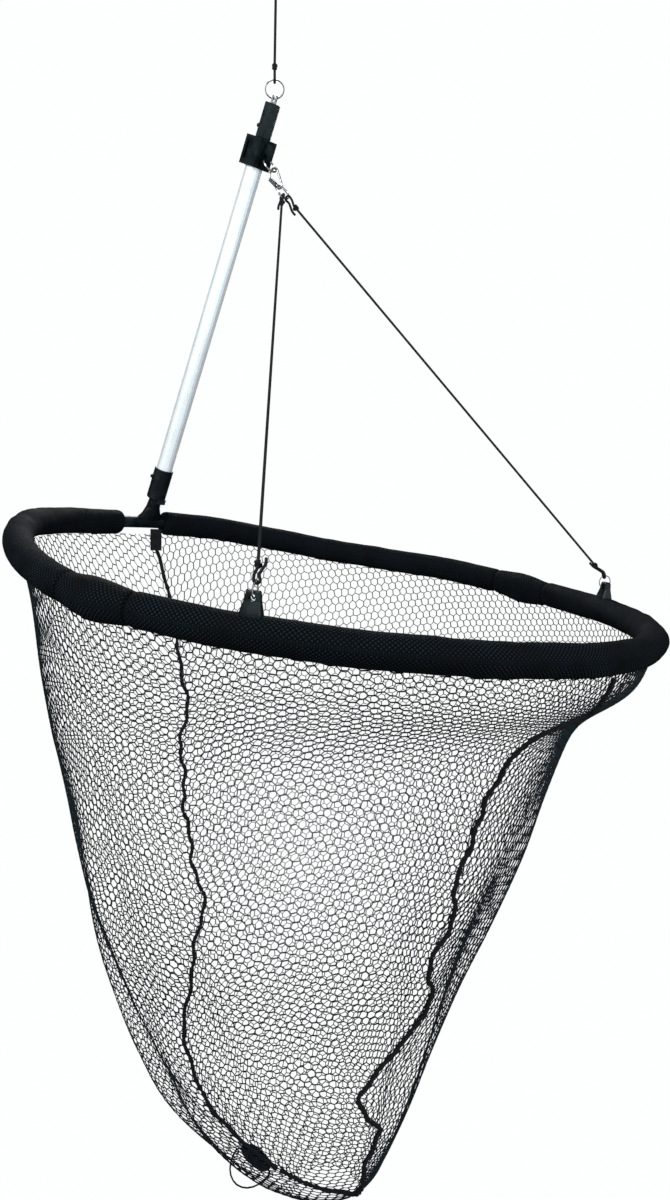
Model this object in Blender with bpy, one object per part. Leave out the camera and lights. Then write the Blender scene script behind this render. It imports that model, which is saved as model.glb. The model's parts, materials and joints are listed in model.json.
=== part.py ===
"""A folding drop net, hanging open from its haul line.

A padded round hoop folds in half on two pinned hinges. A moulded tee on its rear carries a rigid arm that
leans in over the mouth to the haul line's split ring. Two cords run from a carabiner at the arm's top to lugs
on the front half of the hoop, and a net bag hangs below.

Metres, +Z up, +X towards the arm's foot. The origin is the top of the haul line's loop, where the net hangs.
"""

from math import atan2, cos, pi, radians, sin, sqrt, tau

import bmesh
import bpy
from mathutils import Matrix, Vector

for old in list(bpy.data.objects):
    bpy.data.objects.remove(old, do_unlink=True)

# Hoop
HOOP_RADIUS = 0.400
HOOP_TILT = radians(9.95)
REAR_RISE = radians(3.55)
REAR_TWIST = 0.012
FOLD_ANGLE = radians(95.3)
LUG_ANGLE = radians(120.25)
PIN_RISE = 0.010
TUBE_R = 0.005
TUBE_BORE_R = 0.004
SLEEVE_R = 0.0185
SLEEVE_BORE_R = 0.0064
TUBE_PLAY = 0.0008
CUFF_HALF = 0.0465
CUFF_SWELL = 0.0040
HOOP_CENTRE = Vector((-0.1093, 0.0, -0.850))
FOLD_X = HOOP_RADIUS * cos(FOLD_ANGLE)

# Cord lugs on the front tube and their wire clips
LUG_BASE = (0.0088, 0.0120)
LUG_TOP = 0.0400
LUG_EYE_HEIGHT = 0.0330
LUG_EYE_R = 0.0036
LUG_SCREW_HOLE_R = 0.0016
CLIP_R = 0.0088
CLIP_WIRE_R = 0.0008
CLIP_LEAN = radians(20)

# Arm, measured up its axis from the middle of the hoop tube
ARM_LEAN = radians(26.16)
ARM_TUBE_R = 0.0120
ARM_TUBE_BORE_R = 0.0108
SOCKET_BOTTOM = 0.0405
SOCKET_TOP = 0.0885
ARM_TUBE_BOTTOM = 0.0590
LOWER_BUTTON_AT = 0.0720
COLLAR_MIDDLE = 0.5565
COLLAR_HEIGHT = 0.0385
SPIGOT_TOP = 0.6216
UPPER_BUTTON_AT = 0.5905
BUTTON_AZIMUTH = radians(41.7)
BUTTON_FLANGE = 0.0055
BUTTON_HOLE_R = 0.0032
LOWER_BUTTON_FACE = 0.0143
RIVET_HOLE_R = 0.0019
HEX_R = 0.01150
PLUG_R = 0.01035
PLUG_BOTTOM = COLLAR_MIDDLE - 0.0260
COLLAR_TOP = COLLAR_MIDDLE + COLLAR_HEIGHT / 2
EYE_REACH = 0.0195
EYE_R = 0.0046
EYE_AT = COLLAR_MIDDLE - 0.0035

# Cords and rings
CORD_R = 0.0016
LINE_R = 0.00175
TOUCH_GAP = 0.0003
SPLIT_WIRE_R = 0.00070
SPLIT_PITCH = 0.00186
TOP_RING_R = 0.0126
BRIDLE_RING_R = 0.0110
COLLAR_RING_R = 0.0105
COLLAR_RING_WIRE_R = 0.00125
BRIDLE_LENGTHS = {"collar_ring": 0.0127, "carabiner": 0.0365, "bridle_ring": 0.0605}
CARABINER_WIRE_R = 0.0015
GATE_PIVOT = (0.0038, -0.0085)
GATE_TOP = (0.0080, 0.0070)
GATE_PIN_HOLE_R = 0.0008
KNOT_HALF = 0.0034
LOOP_STEPS = (2, 1, 1, 1, 1, 1, 2)
TOP_LOOP_LENGTH = 0.0160
LOW_LOOP_LENGTH = 0.0200

# Bag, row by row: depth below the hoop, radius, how far its middle has swung aside, and where its rear and
# front seams lie round it, in degrees from the tee. The last rows close under the bag.
BAG_PROFILE = (
    (0.000, 0.3980, 0.000, 0, 180),
    (0.095, 0.3680, 0.018, -6, 180),
    (0.175, 0.3310, 0.030, -10, 173),
    (0.250, 0.3070, 0.038, -8, 169),
    (0.330, 0.2860, 0.046, -8, 171),
    (0.410, 0.2600, 0.056, -10, 171),
    (0.490, 0.2280, 0.062, -11, 178),
    (0.575, 0.1950, 0.062, 2, 162),
    (0.650, 0.1630, 0.056, 18, 168),
    (0.700, 0.1330, 0.046, 26, 173),
    (0.733, 0.1090, 0.037, 28, 173),
    (0.763, 0.0820, 0.026, 29, 175),
    (0.783, 0.0540, 0.016, 29, 180),
    (0.796, 0.0260, 0.010, 29, 195),
    (0.801, 0.0045, 0.008, 29, 209),
)
BAG_DEPTH = BAG_PROFILE[-1][0]
BAG_SWING = Vector((0.747, 0.665, 0.0))
BAG_WALL = 0.002
BAG_COLUMNS = 12
BAG_TOP_DROP = SLEEVE_R + 0.0006
PATCH_ROW = 11
SEAM_R = 0.0024
PATCH_HALF = (0.0240, 0.0170)
PULL_LOOP_HALF = 0.0270
PULL_LOOP_DROP = 0.0400


# Frames
def turn_y(angle):
    return Matrix.Rotation(angle, 4, "Y")


FOLD_POINT = turn_y(-HOOP_TILT) @ Vector((FOLD_X, 0.0, PIN_RISE))
HANG = Matrix.Translation(HOOP_CENTRE)
FRONT = HANG @ Matrix.Translation(FOLD_POINT) @ turn_y(-HOOP_TILT)
REAR = HANG @ Matrix.Translation(FOLD_POINT) @ turn_y(-HOOP_TILT - REAR_RISE)
TEE_POINT = REAR @ Vector((HOOP_RADIUS - FOLD_X, 0.0, -PIN_RISE))
ARM = Matrix.Translation(TEE_POINT) @ turn_y(-ARM_LEAN)
EYE_POINT = ARM @ Vector((-EYE_REACH, 0.0, EYE_AT))


def rim(angle):
    """The hoop tube's middle in its half's own frame, whose origin lies on the fold axis. The net's weight
    twists the rear half a little, up on the left of the tee and down on its right."""
    twist = 0.0
    if abs(angle) < FOLD_ANGLE:
        twist = REAR_TWIST * sin(pi * angle / FOLD_ANGLE) ** 3
    return Vector((HOOP_RADIUS * cos(angle) - FOLD_X, HOOP_RADIUS * sin(angle), twist - PIN_RISE))


def rim_world(angle):
    """The same point in the whole net's frame."""
    wrapped = atan2(sin(angle), cos(angle))
    return (REAR if abs(wrapped) < FOLD_ANGLE else FRONT) @ rim(wrapped)


# Making objects
def material(name, color, roughness, metallic=0.0):
    made = bpy.data.materials.new(name)
    made.use_nodes = True
    shader = made.node_tree.nodes["Principled BSDF"]
    shader.inputs["Base Color"].default_value = (*color, 1.0)
    shader.inputs["Roughness"].default_value = roughness
    shader.inputs["Metallic"].default_value = metallic
    return made


def link(name, data, frame, finish):
    made = bpy.data.objects.new(name, data)
    made.matrix_world = frame
    made.data.materials.append(finish)
    bpy.context.scene.collection.objects.link(made)
    return made


def solid(name, bm, frame, finish, smooth_deg=35):
    """One closed mesh object, with its faces turned outwards."""
    bmesh.ops.remove_doubles(bm, verts=bm.verts, dist=1e-7)
    bmesh.ops.recalc_face_normals(bm, faces=bm.faces)
    mesh = bpy.data.meshes.new(name)
    bm.to_mesh(mesh)
    bm.free()
    mesh.shade_smooth()
    mesh.set_sharp_from_angle(angle=radians(smooth_deg))
    return link(name, mesh, frame, finish)


def hide_tool(tool):
    tool.hide_render = True
    tool.display_type = "WIRE"
    return tool


def boolean(target, tool, operation):
    """Cuts, joins or keeps the shared part of a hidden tool with EXACT booleans."""
    step = target.modifiers.new(tool.name, "BOOLEAN")
    step.operation = operation
    step.solver = "EXACT"
    step.object = hide_tool(tool)


def soften(target, width, segments=2):
    """Rounds every edge sharper than 50 degrees."""
    step = target.modifiers.new("soft edges", "BEVEL")
    step.width = width
    step.segments = segments
    step.limit_method = "ANGLE"
    step.angle_limit = radians(50)


# Shapes
def lathe(name, profile, segments, frame, finish):
    """Turns a closed outline of (radius, height) points round the frame's Z axis."""
    bm = bmesh.new()
    corners = [bm.verts.new((r, 0.0, z)) for r, z in profile]
    edges = [bm.edges.new((corners[i], corners[i - 1])) for i in range(len(corners))]
    if min(r for r, _ in profile) < 1e-9:
        on_axis = [e for e in edges if all(v.co.x < 1e-9 for v in e.verts)]
        for edge in on_axis:
            bm.edges.remove(edge)
            edges.remove(edge)
    bmesh.ops.spin(
        bm, geom=corners + edges, cent=(0, 0, 0), axis=(0, 0, 1), angle=tau, steps=segments, use_merge=True
    )
    return solid(name, bm, frame, finish)


def loft(name, sections, frame, finish, smooth_deg=35):
    """Bridges rings of equal count, one after the other, and caps both ends."""
    bm = bmesh.new()
    rings = [[bm.verts.new(p) for p in section] for section in sections]
    count = len(rings[0])
    for low, high in zip(rings, rings[1:]):
        for i in range(count):
            j = (i + 1) % count
            bm.faces.new((low[i], low[j], high[j], high[i]))
    bm.faces.new(rings[0][::-1])
    bm.faces.new(rings[-1])
    return solid(name, bm, frame, finish, smooth_deg)


def plate(name, outline, low, high, frame, finish, smooth_deg=35):
    """An outline of (x, z) points, extruded along Y from low to high."""
    return loft(name, [[(x, y, z) for x, z in outline] for y in (low, high)], frame, finish, smooth_deg)


def box(name, low, high, frame, finish):
    outline = ((low[0], low[2]), (high[0], low[2]), (high[0], high[2]), (low[0], high[2]))
    return plate(name, outline, low[1], high[1], frame, finish)


def arc(centre, radius, start, end, steps):
    """Points (x, z) on an arc, its angles in degrees."""
    turns = [radians(start + (end - start) * i / steps) for i in range(steps + 1)]
    return [(centre[0] + radius * cos(a), centre[1] + radius * sin(a)) for a in turns]


def frames_along(points, start_normal):
    """A tangent, a normal and a binormal at each point, carried along without twist."""
    found = []
    normal = start_normal
    for i, point in enumerate(points):
        ahead = points[min(i + 1, len(points) - 1)]
        behind = points[max(i - 1, 0)]
        tangent = (ahead - behind).normalized()
        normal = (normal - tangent * normal.dot(tangent)).normalized()
        found.append((point, tangent, normal, tangent.cross(normal)))
    return found


def rod(name, points, radius, sides, frame, finish, bore=None, up=Vector((0.0, 0.0, 1.0)), smooth_deg=35):
    """A round rod along the points. With a bore it is a tube: radius and bore are numbers or functions of how
    far along the point is, from 0 to 1."""
    bm = bmesh.new()
    outer = []
    inner = []
    stations = frames_along(points, up)
    for i, (point, _, normal, side) in enumerate(stations):
        along = i / (len(stations) - 1)
        for rings, size in ((outer, radius), (inner, bore)):
            if size is None:
                continue
            r = size(along) if callable(size) else size
            turns = [tau * k / sides for k in range(sides)]
            rings.append([bm.verts.new(point + normal * (r * cos(a)) + side * (r * sin(a))) for a in turns])
    for rings in (outer, inner):
        for low, high in zip(rings, rings[1:]):
            for k in range(sides):
                n = (k + 1) % sides
                bm.faces.new((low[k], low[n], high[n], high[k]))
    for end in (0, -1):
        if bore is None:
            bm.faces.new(outer[end])
            continue
        for k in range(sides):
            n = (k + 1) % sides
            bm.faces.new((outer[end][k], outer[end][n], inner[end][n], inner[end][k]))
    return solid(name, bm, frame, finish, smooth_deg)


def torus(name, radius, wire_r, frame, finish, segments=24, sides=8):
    """A closed wire ring round the frame's Z axis."""
    bm = bmesh.new()
    turns = [tau * k / sides for k in range(sides)]
    corners = [bm.verts.new((radius + wire_r * cos(a), 0.0, wire_r * sin(a))) for a in turns]
    edges = [bm.edges.new((corners[i], corners[i - 1])) for i in range(sides)]
    bmesh.ops.spin(
        bm, geom=corners + edges, cent=(0, 0, 0), axis=(0, 0, 1), angle=tau, steps=segments, use_merge=True
    )
    return solid(name, bm, frame, finish, 60)


def smooth_route(points, steps):
    """A Catmull-Rom curve through the points, with the given number of steps in each span."""
    knots = [points[0] * 2 - points[1], *points, points[-1] * 2 - points[-2]]
    route = []
    for i, count in enumerate(steps):
        a, b, c, d = knots[i : i + 4]
        for k in range(count):
            t = k / count
            route.append(
                0.5
                * (
                    b * 2
                    + (c - a) * t
                    + (a * 2 - b * 5 + c * 4 - d) * t * t
                    + (b * 3 - a - c * 3 + d) * t * t * t
                )
            )
    route.append(points[-1])
    return route


def wire(name, points, wire_r, frame, finish, resolution=2):
    """A curve with a round bevel and filled caps along the points."""
    curve = bpy.data.curves.new(name, "CURVE")
    curve.dimensions = "3D"
    curve.bevel_depth = wire_r
    curve.bevel_resolution = resolution
    curve.use_fill_caps = True
    line = curve.splines.new("POLY")
    line.points.add(len(points) - 1)
    for place, point in zip(line.points, points):
        place.co = (*point, 1.0)
    return link(name, curve, frame, finish)


def split_ring(name, radius, frame, finish):
    """A two-turn spring ring round the frame's Z axis: each turn lies flat against the other, and the wire
    steps across from one to the other near the frame's X axis, between its own two ends."""
    step = 0.07
    points_per_turn = 24
    count = round(points_per_turn * (2 - 2 * step))
    route = []
    for i in range(count + 1):
        turn = step + (2 - 2 * step) * i / count
        across = min(1.0, max(0.0, (turn - 1 + step) / (2 * step)))
        across = across * across * (3 - 2 * across)
        angle = tau * turn
        route.append(Vector((radius * cos(angle), radius * sin(angle), SPLIT_PITCH * (across - 0.5))))
    least = least_gap(route, points_per_turn // 2) - 2 * SPLIT_WIRE_R
    print(f"{name}: least gap between its turns {least * 1000:.2f} mm")
    return wire(name, route, SPLIT_WIRE_R, frame, finish, resolution=1)


def least_gap(route, apart):
    """The least distance between two points of a wire that are at least a count of points apart."""
    return min((b - a).length for i, a in enumerate(route) for b in route[i + apart :])


def aim(origin, z_axis, x_hint):
    """A frame at origin whose Z runs along z_axis and whose X is as near x_hint as it can be."""
    z = z_axis.normalized()
    x = (x_hint - z * x_hint.dot(z)).normalized()
    turn = Matrix((x, z.cross(x), z)).transposed().to_4x4()
    return Matrix.Translation(origin) @ turn


# Finishes
BLACK_PLASTIC = material("black_plastic", (0.022, 0.026, 0.030), 0.42)
ALUMINIUM = material("anodised_aluminium", (0.78, 0.85, 0.88), 0.34, 1.0)
STEEL = material("bright_steel", (0.62, 0.63, 0.64), 0.25, 1.0)
BLACK_FABRIC = material("black_sleeve", (0.012, 0.014, 0.018), 0.88)
BLACK_CORD = material("black_cord", (0.010, 0.011, 0.012), 0.80)
BLACK_MESH = material("black_netting", (0.020, 0.024, 0.028), 0.75)


# Hoop tubes and sleeves
def rim_points(start, end, count):
    return [rim(start + (end - start) * i / (count - 1)) for i in range(count)]


def along_rim(distance):
    """The angle that a distance along the hoop tube spans."""
    return distance / HOOP_RADIUS


KNUCKLE_MOUTH = along_rim(0.040)
KNUCKLE_BOTTOM = along_rim(0.018)
TEE_HALF = along_rim(0.058)
TUBE_MEET = along_rim(0.0008)
SLEEVE_END = along_rim(0.050)


def hoop_tubes():
    for side, name in ((1, "rear_tube_left"), (-1, "rear_tube_right")):
        points = rim_points(side * TUBE_MEET, side * (FOLD_ANGLE - KNUCKLE_BOTTOM - TUBE_MEET), 20)
        rod(name, points, TUBE_R, 8, REAR, ALUMINIUM, bore=TUBE_BORE_R)
    start = FOLD_ANGLE + KNUCKLE_BOTTOM + TUBE_MEET
    points = rim_points(start, tau - start, 31)
    rod("front_tube", points, TUBE_R, 8, FRONT, ALUMINIUM, bore=TUBE_BORE_R)


def sleeve_radius(along):
    """Round over most of its length, drawn in over the last 6 mm at each end."""
    return SLEEVE_R if 0.0 < along < 1.0 else SLEEVE_R - 0.003


def sleeves():
    """Foam-padded fabric tubes. The right rear one is pulled over the tee's right arm, so its bore is wider
    there, and the left one stops short of the tee's left arm."""
    tee_bore = SLEEVE_BORE_R + 0.0042
    rear_end = FOLD_ANGLE - SLEEVE_END
    left = rim_points(TEE_HALF + along_rim(0.001), rear_end, 15)
    rod("rear_sleeve_left", left, sleeve_radius, 10, REAR, BLACK_FABRIC, bore=SLEEVE_BORE_R)
    right_start = along_rim(0.026)
    covered = (TEE_HALF + along_rim(0.026) - right_start) / (rear_end - right_start)

    def right_bore(along):
        return tee_bore if along < covered else SLEEVE_BORE_R

    right = rim_points(-right_start, -rear_end, 18)
    rod("rear_sleeve_right", right, sleeve_radius, 10, REAR, BLACK_FABRIC, bore=right_bore)
    start = FOLD_ANGLE + SLEEVE_END
    whole = rim_points(start, tau - start, 27)
    front = rod("front_sleeve", whole, sleeve_radius, 10, FRONT, BLACK_FABRIC, bore=SLEEVE_BORE_R)
    for side in (1, -1):
        low = (-LUG_BASE[0] - 0.0007, -LUG_BASE[1] - 0.0008, -0.0116)
        high = (LUG_BASE[0] + 0.0007, LUG_BASE[1] + 0.0008, 0.0300)
        boolean(front, box(f"sleeve_slit_{side}", low, high, lug_frame(side), BLACK_FABRIC), "DIFFERENCE")


# Fold hinges
def hinge_frame(side, half):
    """On the fold axis at one side of the hoop, X along the hoop and Y along the pin."""
    place = Vector((0.0, side * HOOP_RADIUS * sin(FOLD_ANGLE), 0.0))
    return half @ Matrix.Translation(place)


def knuckle(name, side, half, towards, cheeks):
    """A socket on the tube's end whose cheeks rise to the fold pin. towards is +1 on the rear half."""
    barrel_r = 0.0080

    def stretch(start, end):
        start = FOLD_ANGLE - towards * along_rim(start)
        end = FOLD_ANGLE - towards * along_rim(end)
        return [rim(side * (start + (end - start) * i / 3)) for i in range(4)]

    body = rod(name, stretch(0.0125, 0.040), barrel_r, 12, half, BLACK_PLASTIC)
    frame = hinge_frame(side, half)
    foot = ((0.021, -0.004), (0.021, -0.0125), (0.010, -0.0135), (-0.0005, -0.0100), (-0.0045, -0.0050))
    outline = [(towards * x, z) for x, z in (*arc((0.0, 0.0), 0.0066, 150, 15, 6), *foot)]
    for index, (low, high) in enumerate(cheeks):
        cheek = plate(f"{name}_cheek_{index}", outline, low, high, frame, BLACK_PLASTIC)
        boolean(body, cheek, "UNION")
    bore = rod(f"{name}_bore", stretch(0.018, 0.050), TUBE_R + TUBE_PLAY, 12, half, BLACK_PLASTIC)
    boolean(body, bore, "DIFFERENCE")
    across = frame @ Matrix.Rotation(radians(90), 4, "X")
    hole = ((0, -0.012), (0.0024, -0.012), (0.0024, 0.012), (0, 0.012))
    boolean(body, lathe(f"{name}_pin_hole", hole, 10, across, STEEL), "DIFFERENCE")


def fold_hinges():
    fork = ((-0.0078, -0.0037), (0.0037, 0.0078))
    tongue = ((-0.0033, 0.0033),)
    for side, hand in ((1, "left"), (-1, "right")):
        knuckle(f"rear_knuckle_{hand}", side, REAR, 1, fork)
        knuckle(f"front_knuckle_{hand}", side, FRONT, -1, tongue)
        across = hinge_frame(side, REAR) @ Matrix.Rotation(radians(90), 4, "X")
        shank = 0.0020
        head = 0.0036
        rivet = ((0, -0.0094), (head - 0.0008, -0.0094), (head, -0.0088), (head, -0.0081), (shank, -0.0081))
        rivet += tuple((r, -z) for r, z in reversed(rivet))
        lathe(f"fold_pin_{hand}", rivet, 10, across, STEEL)
        spread = [along_rim(CUFF_HALF * (i - 3.5) / 3.5) for i in range(8)]
        cuff = [rim_in_rear(side * (FOLD_ANGLE + angle)) for angle in spread]
        for i, place in enumerate(cuff):
            place.z += CUFF_SWELL * sin(pi * i / 7) ** 2
        rod(f"hinge_cuff_{hand}", cuff, cuff_radius, 12, REAR, BLACK_FABRIC, bore=cuff_bore)


def rim_in_rear(angle):
    return REAR.inverted() @ rim_world(angle)


def cuff_radius(along):
    """The soft cuff swells upwards over the hinge's knuckles, and its ends are drawn in."""
    return SLEEVE_R - 0.002 + (0.002 + CUFF_SWELL) * sin(pi * along) ** 2


def cuff_bore(along):
    return cuff_radius(along) - 0.0022


# Tee
def tee():
    """A bar along the hoop with a through bore for the two rear tubes, a flared web and a round neck."""
    bar_r = 0.0090
    points = [rim(TEE_HALF * (i - 4) / 4) for i in range(9)]
    bar = rod("hoop_tee", points, bar_r, 14, REAR, BLACK_PLASTIC)

    def oval(half_x, half_y, height):
        turns = [tau * k / 14 for k in range(14)]
        return [(half_x * cos(a), half_y * sin(a), height) for a in turns]

    neck_r = 0.0094
    web = [
        oval(0.0078, 0.0270, 0.0015),
        oval(0.0078, 0.0255, 0.0070),
        oval(0.0082, 0.0170, 0.0150),
        oval(0.0088, 0.0115, 0.0260),
        oval(neck_r, neck_r, 0.0370),
        oval(neck_r, neck_r, 0.0580),
    ]
    boolean(bar, loft("tee_neck", web, ARM, BLACK_PLASTIC), "UNION")
    bore = [rim(TEE_HALF * 1.2 * (i - 4) / 4) for i in range(9)]
    boolean(bar, rod("tee_bore", bore, TUBE_R + TUBE_PLAY, 12, REAR, BLACK_PLASTIC), "DIFFERENCE")


# Arm
def button_frame(height):
    """On the arm's axis at a height, with Z pointing out at the snap buttons' side."""
    return (
        ARM
        @ Matrix.Translation((0, 0, height))
        @ Matrix.Rotation(BUTTON_AZIMUTH, 4, "Z")
        @ Matrix.Rotation(radians(90), 4, "Y")
    )


def bored_cylinder(name, radius, low, high, frame):
    return lathe(name, ((0, low), (radius, low), (radius, high), (0, high)), 14, frame, BLACK_PLASTIC)


def snap_button(name, height, face):
    """A domed pin with an inner flange. face is how far out from the arm's axis the hole opens."""
    shank = 0.0029
    dome = [(shank * cos(radians(a)), face + 0.0012 + 0.0020 * sin(radians(a))) for a in (0, 35, 65)]
    flange = face - BUTTON_FLANGE
    inner = ((0, flange - 0.0012), (0.0038, flange - 0.0012), (0.0038, flange), (shank, flange))
    profile = (*inner, *dome, (0, face + 0.0032))
    return lathe(name, profile, 12, button_frame(height), BLACK_PLASTIC)


def drill(target, name, radius, low, high, frame):
    boolean(target, bored_cylinder(name, radius, low, high, frame), "DIFFERENCE")


def lower_socket():
    outer = LOWER_BUTTON_FACE
    spigot_bore = 0.0097
    tube_bore = ARM_TUBE_R + TOUCH_GAP
    profile = (
        (spigot_bore, SOCKET_BOTTOM),
        (outer - 0.0010, SOCKET_BOTTOM),
        (outer, SOCKET_BOTTOM + 0.0010),
        (outer, SOCKET_TOP - 0.0008),
        (outer - 0.0008, SOCKET_TOP),
        (tube_bore, SOCKET_TOP),
        (tube_bore, ARM_TUBE_BOTTOM - TOUCH_GAP),
        (spigot_bore, ARM_TUBE_BOTTOM - TOUCH_GAP),
    )
    socket = lathe("lower_socket", profile, 20, ARM, BLACK_PLASTIC)
    drill(socket, "socket_button_hole", BUTTON_HOLE_R, 0.006, 0.020, button_frame(LOWER_BUTTON_AT))
    low = (-0.0175, -0.006, SOCKET_BOTTOM - 0.004)
    high = (-0.0117, 0.006, SOCKET_BOTTOM + 0.004)
    boolean(socket, box("socket_lip", low, high, ARM, BLACK_PLASTIC), "UNION")


def arm_tube():
    top = COLLAR_MIDDLE - 0.0045
    profile = (
        (ARM_TUBE_BORE_R, ARM_TUBE_BOTTOM),
        (ARM_TUBE_R, ARM_TUBE_BOTTOM),
        (ARM_TUBE_R, top),
        (ARM_TUBE_BORE_R, top),
    )
    tube = lathe("arm_tube", profile, 20, ARM, ALUMINIUM)
    drill(tube, "tube_button_hole", BUTTON_HOLE_R, 0.006, 0.020, button_frame(LOWER_BUTTON_AT))
    drill(tube, "tube_rivet_hole", RIVET_HOLE_R, 0.004, 0.030, collar_rivet_frame())


def snap_spring():
    """A bent strip inside the tube: one leg lies behind the button, and the other bears on the far wall."""
    strip = 0.0006
    front = LOWER_BUTTON_FACE - BUTTON_FLANGE - 0.0012 - TOUCH_GAP
    back = 0.4 * TOUCH_GAP - ARM_TUBE_BORE_R * 0.90
    outline = [
        (front, -0.0060),
        (front, 0.0060),
        (0.0012, 0.0240),
        (-0.0022, 0.0240),
        (back, -0.0060),
        (back + strip, -0.0060),
        (-0.0018, 0.0240 - strip),
        (0.0008, 0.0240 - strip),
        (front - strip, 0.0058),
        (front - strip, -0.0060),
    ]
    frame = ARM @ Matrix.Translation((0, 0, LOWER_BUTTON_AT)) @ Matrix.Rotation(BUTTON_AZIMUTH, 4, "Z")
    plate("lower_snap_spring", outline, -0.0025, 0.0025, frame, STEEL)


def collar():
    """A moulded block round the tube's top, with a boss and eye on the side that the cords pull."""
    half = COLLAR_HEIGHT / 2
    frame = ARM @ Matrix.Translation((0, 0, COLLAR_MIDDLE))
    body = box("collar", (-0.0145, -0.0150, -half), (0.0165, 0.0150, half), frame, BLACK_PLASTIC)
    ear = [
        (-0.010, 0.0165),
        (-0.019, 0.0150),
        *arc((-0.0195, 0.0020), 0.0072, 130, 200, 4),
        (-0.0250, -0.0060),
        (-0.0215, -0.0120),
        (-0.0170, -0.0185),
        (-0.010, -0.0185),
    ]
    boolean(body, plate("collar_ear", ear, -0.0034, 0.0034, frame, BLACK_PLASTIC), "UNION")
    bore = (
        (0, -0.030),
        (ARM_TUBE_R + TOUCH_GAP, -0.030),
        (ARM_TUBE_R + TOUCH_GAP, -0.0045 + TOUCH_GAP),
        (0, -0.0045 + TOUCH_GAP),
    )
    boolean(body, lathe("collar_tube_bore", bore, 20, frame, BLACK_PLASTIC), "DIFFERENCE")
    plug_bore = ((-0.006, PLUG_R + TOUCH_GAP), (0.030, PLUG_R + TOUCH_GAP))
    boolean(body, hexagon_loft("collar_plug_bore", plug_bore, COLLAR_MIDDLE), "DIFFERENCE")
    eye = bored_cylinder("collar_eye", EYE_R, -0.02, 0.02, eye_frame())
    boolean(body, eye, "DIFFERENCE")
    for side in (1, -1):
        low, high = sorted((side * 0.0128, side * 0.0170))
        corners = ((0.0068, low, -0.0115), (0.0112, high, 0.0115))
        boolean(body, box(f"collar_slot_{side}", *corners, frame, BLACK_PLASTIC), "DIFFERENCE")
    drill(body, "collar_rivet_hole", RIVET_HOLE_R, 0.004, 0.030, collar_rivet_frame())
    soften(body, 0.0014, 1)


def eye_frame():
    """The collar eye's middle, with Z across the arm."""
    return ARM @ Matrix.Translation((-EYE_REACH, 0, EYE_AT)) @ Matrix.Rotation(radians(90), 4, "X")


def collar_rivet_frame():
    """Across the collar below its middle, with Z pointing out at the side away from the cords."""
    return ARM @ Matrix.Translation((0, 0, COLLAR_MIDDLE - 0.0115)) @ Matrix.Rotation(radians(90), 4, "Y")


def collar_rivet():
    """It holds the collar on the tube and the spigot's plug inside it."""
    shank = ((0, 0.0062), (0.0016, 0.0062), (0.0016, 0.0168))
    head = ((0.0034, 0.0168), (0.0030, 0.0182), (0.0012, 0.0188), (0, 0.0188))
    lathe("collar_rivet", (*shank, *head), 12, collar_rivet_frame(), STEEL)


def hexagon_loft(name, rows, base, smooth_deg=20):
    """Hexagons with one pair of flats square to the snap buttons, as rows of (height, corner radius)."""
    frame = ARM @ Matrix.Translation((0, 0, base)) @ Matrix.Rotation(BUTTON_AZIMUTH, 4, "Z")
    turns = [radians(30 + 60 * k) for k in range(6)]
    sections = [[(r * cos(a), r * sin(a), z) for a in turns] for z, r in rows]
    return loft(name, sections, frame, BLACK_PLASTIC, smooth_deg)


def top_spigot():
    """A hexagonal bar that stands on the collar's top, with a smaller plug down inside the arm tube."""
    shoulder = COLLAR_TOP + TOUCH_GAP
    rows = (
        (PLUG_BOTTOM, PLUG_R),
        (shoulder, PLUG_R),
        (shoulder + 0.0004, HEX_R),
        (SPIGOT_TOP, HEX_R),
    )
    spigot = hexagon_loft("top_spigot", rows, 0.0)
    soften(spigot, 0.0007, 1)
    drill(spigot, "spigot_button_hole", BUTTON_HOLE_R, 0.0040, 0.020, button_frame(UPPER_BUTTON_AT))
    drill(spigot, "spigot_flange_hole", 0.0042, -0.0050, 0.0064, button_frame(UPPER_BUTTON_AT))
    stem = ARM @ Matrix.Translation((0, 0, SPIGOT_TOP))
    drill(spigot, "spigot_stem_hole", 0.0033, -0.0125, 0.010, stem)
    drill(spigot, "spigot_rivet_hole", RIVET_HOLE_R, 0.0050, 0.030, collar_rivet_frame())


def eye_fork():
    """A light fork on a stem in the spigot's top. Its two ears carry the split ring."""
    frame = (
        ARM
        @ Matrix.Translation((0, 0, SPIGOT_TOP + TOUCH_GAP))
        @ Matrix.Rotation(BUTTON_AZIMUTH + radians(90), 4, "Z")
    )
    ear = [(-0.0042, 0.0), (0.0042, 0.0), *arc((0.0, 0.0070), 0.0042, 0, 180, 8)]
    fork = plate("eye_fork", ear, -0.0034, 0.0034, frame, ALUMINIUM)
    stem = bored_cylinder("fork_stem", 0.0030, -0.0120, 0.0010, frame)
    boolean(fork, stem, "UNION")
    gap = box("fork_gap", (-0.010, -0.0013, 0.0022), (0.010, 0.0013, 0.020), frame, ALUMINIUM)
    boolean(fork, gap, "DIFFERENCE")
    across = frame @ Matrix.Translation((0, 0, 0.0070)) @ Matrix.Rotation(radians(90), 4, "X")
    drill(fork, "fork_eye", 0.0028, -0.010, 0.010, across)


def button_spring():
    """The upper button's coil spring, in the bottom of its pocket."""
    turns = 3
    per_turn = 8
    coil_r = 0.0026
    wire_r = 0.0003
    low = -0.0044
    high = HEX_R * cos(radians(30)) - BUTTON_FLANGE - 0.0012 - wire_r - TOUCH_GAP
    count = turns * per_turn
    route = []
    for i in range(count + 1):
        a = tau * turns * i / count
        route.append(Vector((coil_r * cos(a), coil_r * sin(a), low + (high - low) * i / count)))
    gap = (high - low) / turns - 2 * wire_r
    print(f"upper_button_spring: least gap between its turns {gap * 1000:.2f} mm")
    wire("upper_button_spring", route, wire_r, button_frame(UPPER_BUTTON_AT), STEEL, resolution=1)


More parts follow.
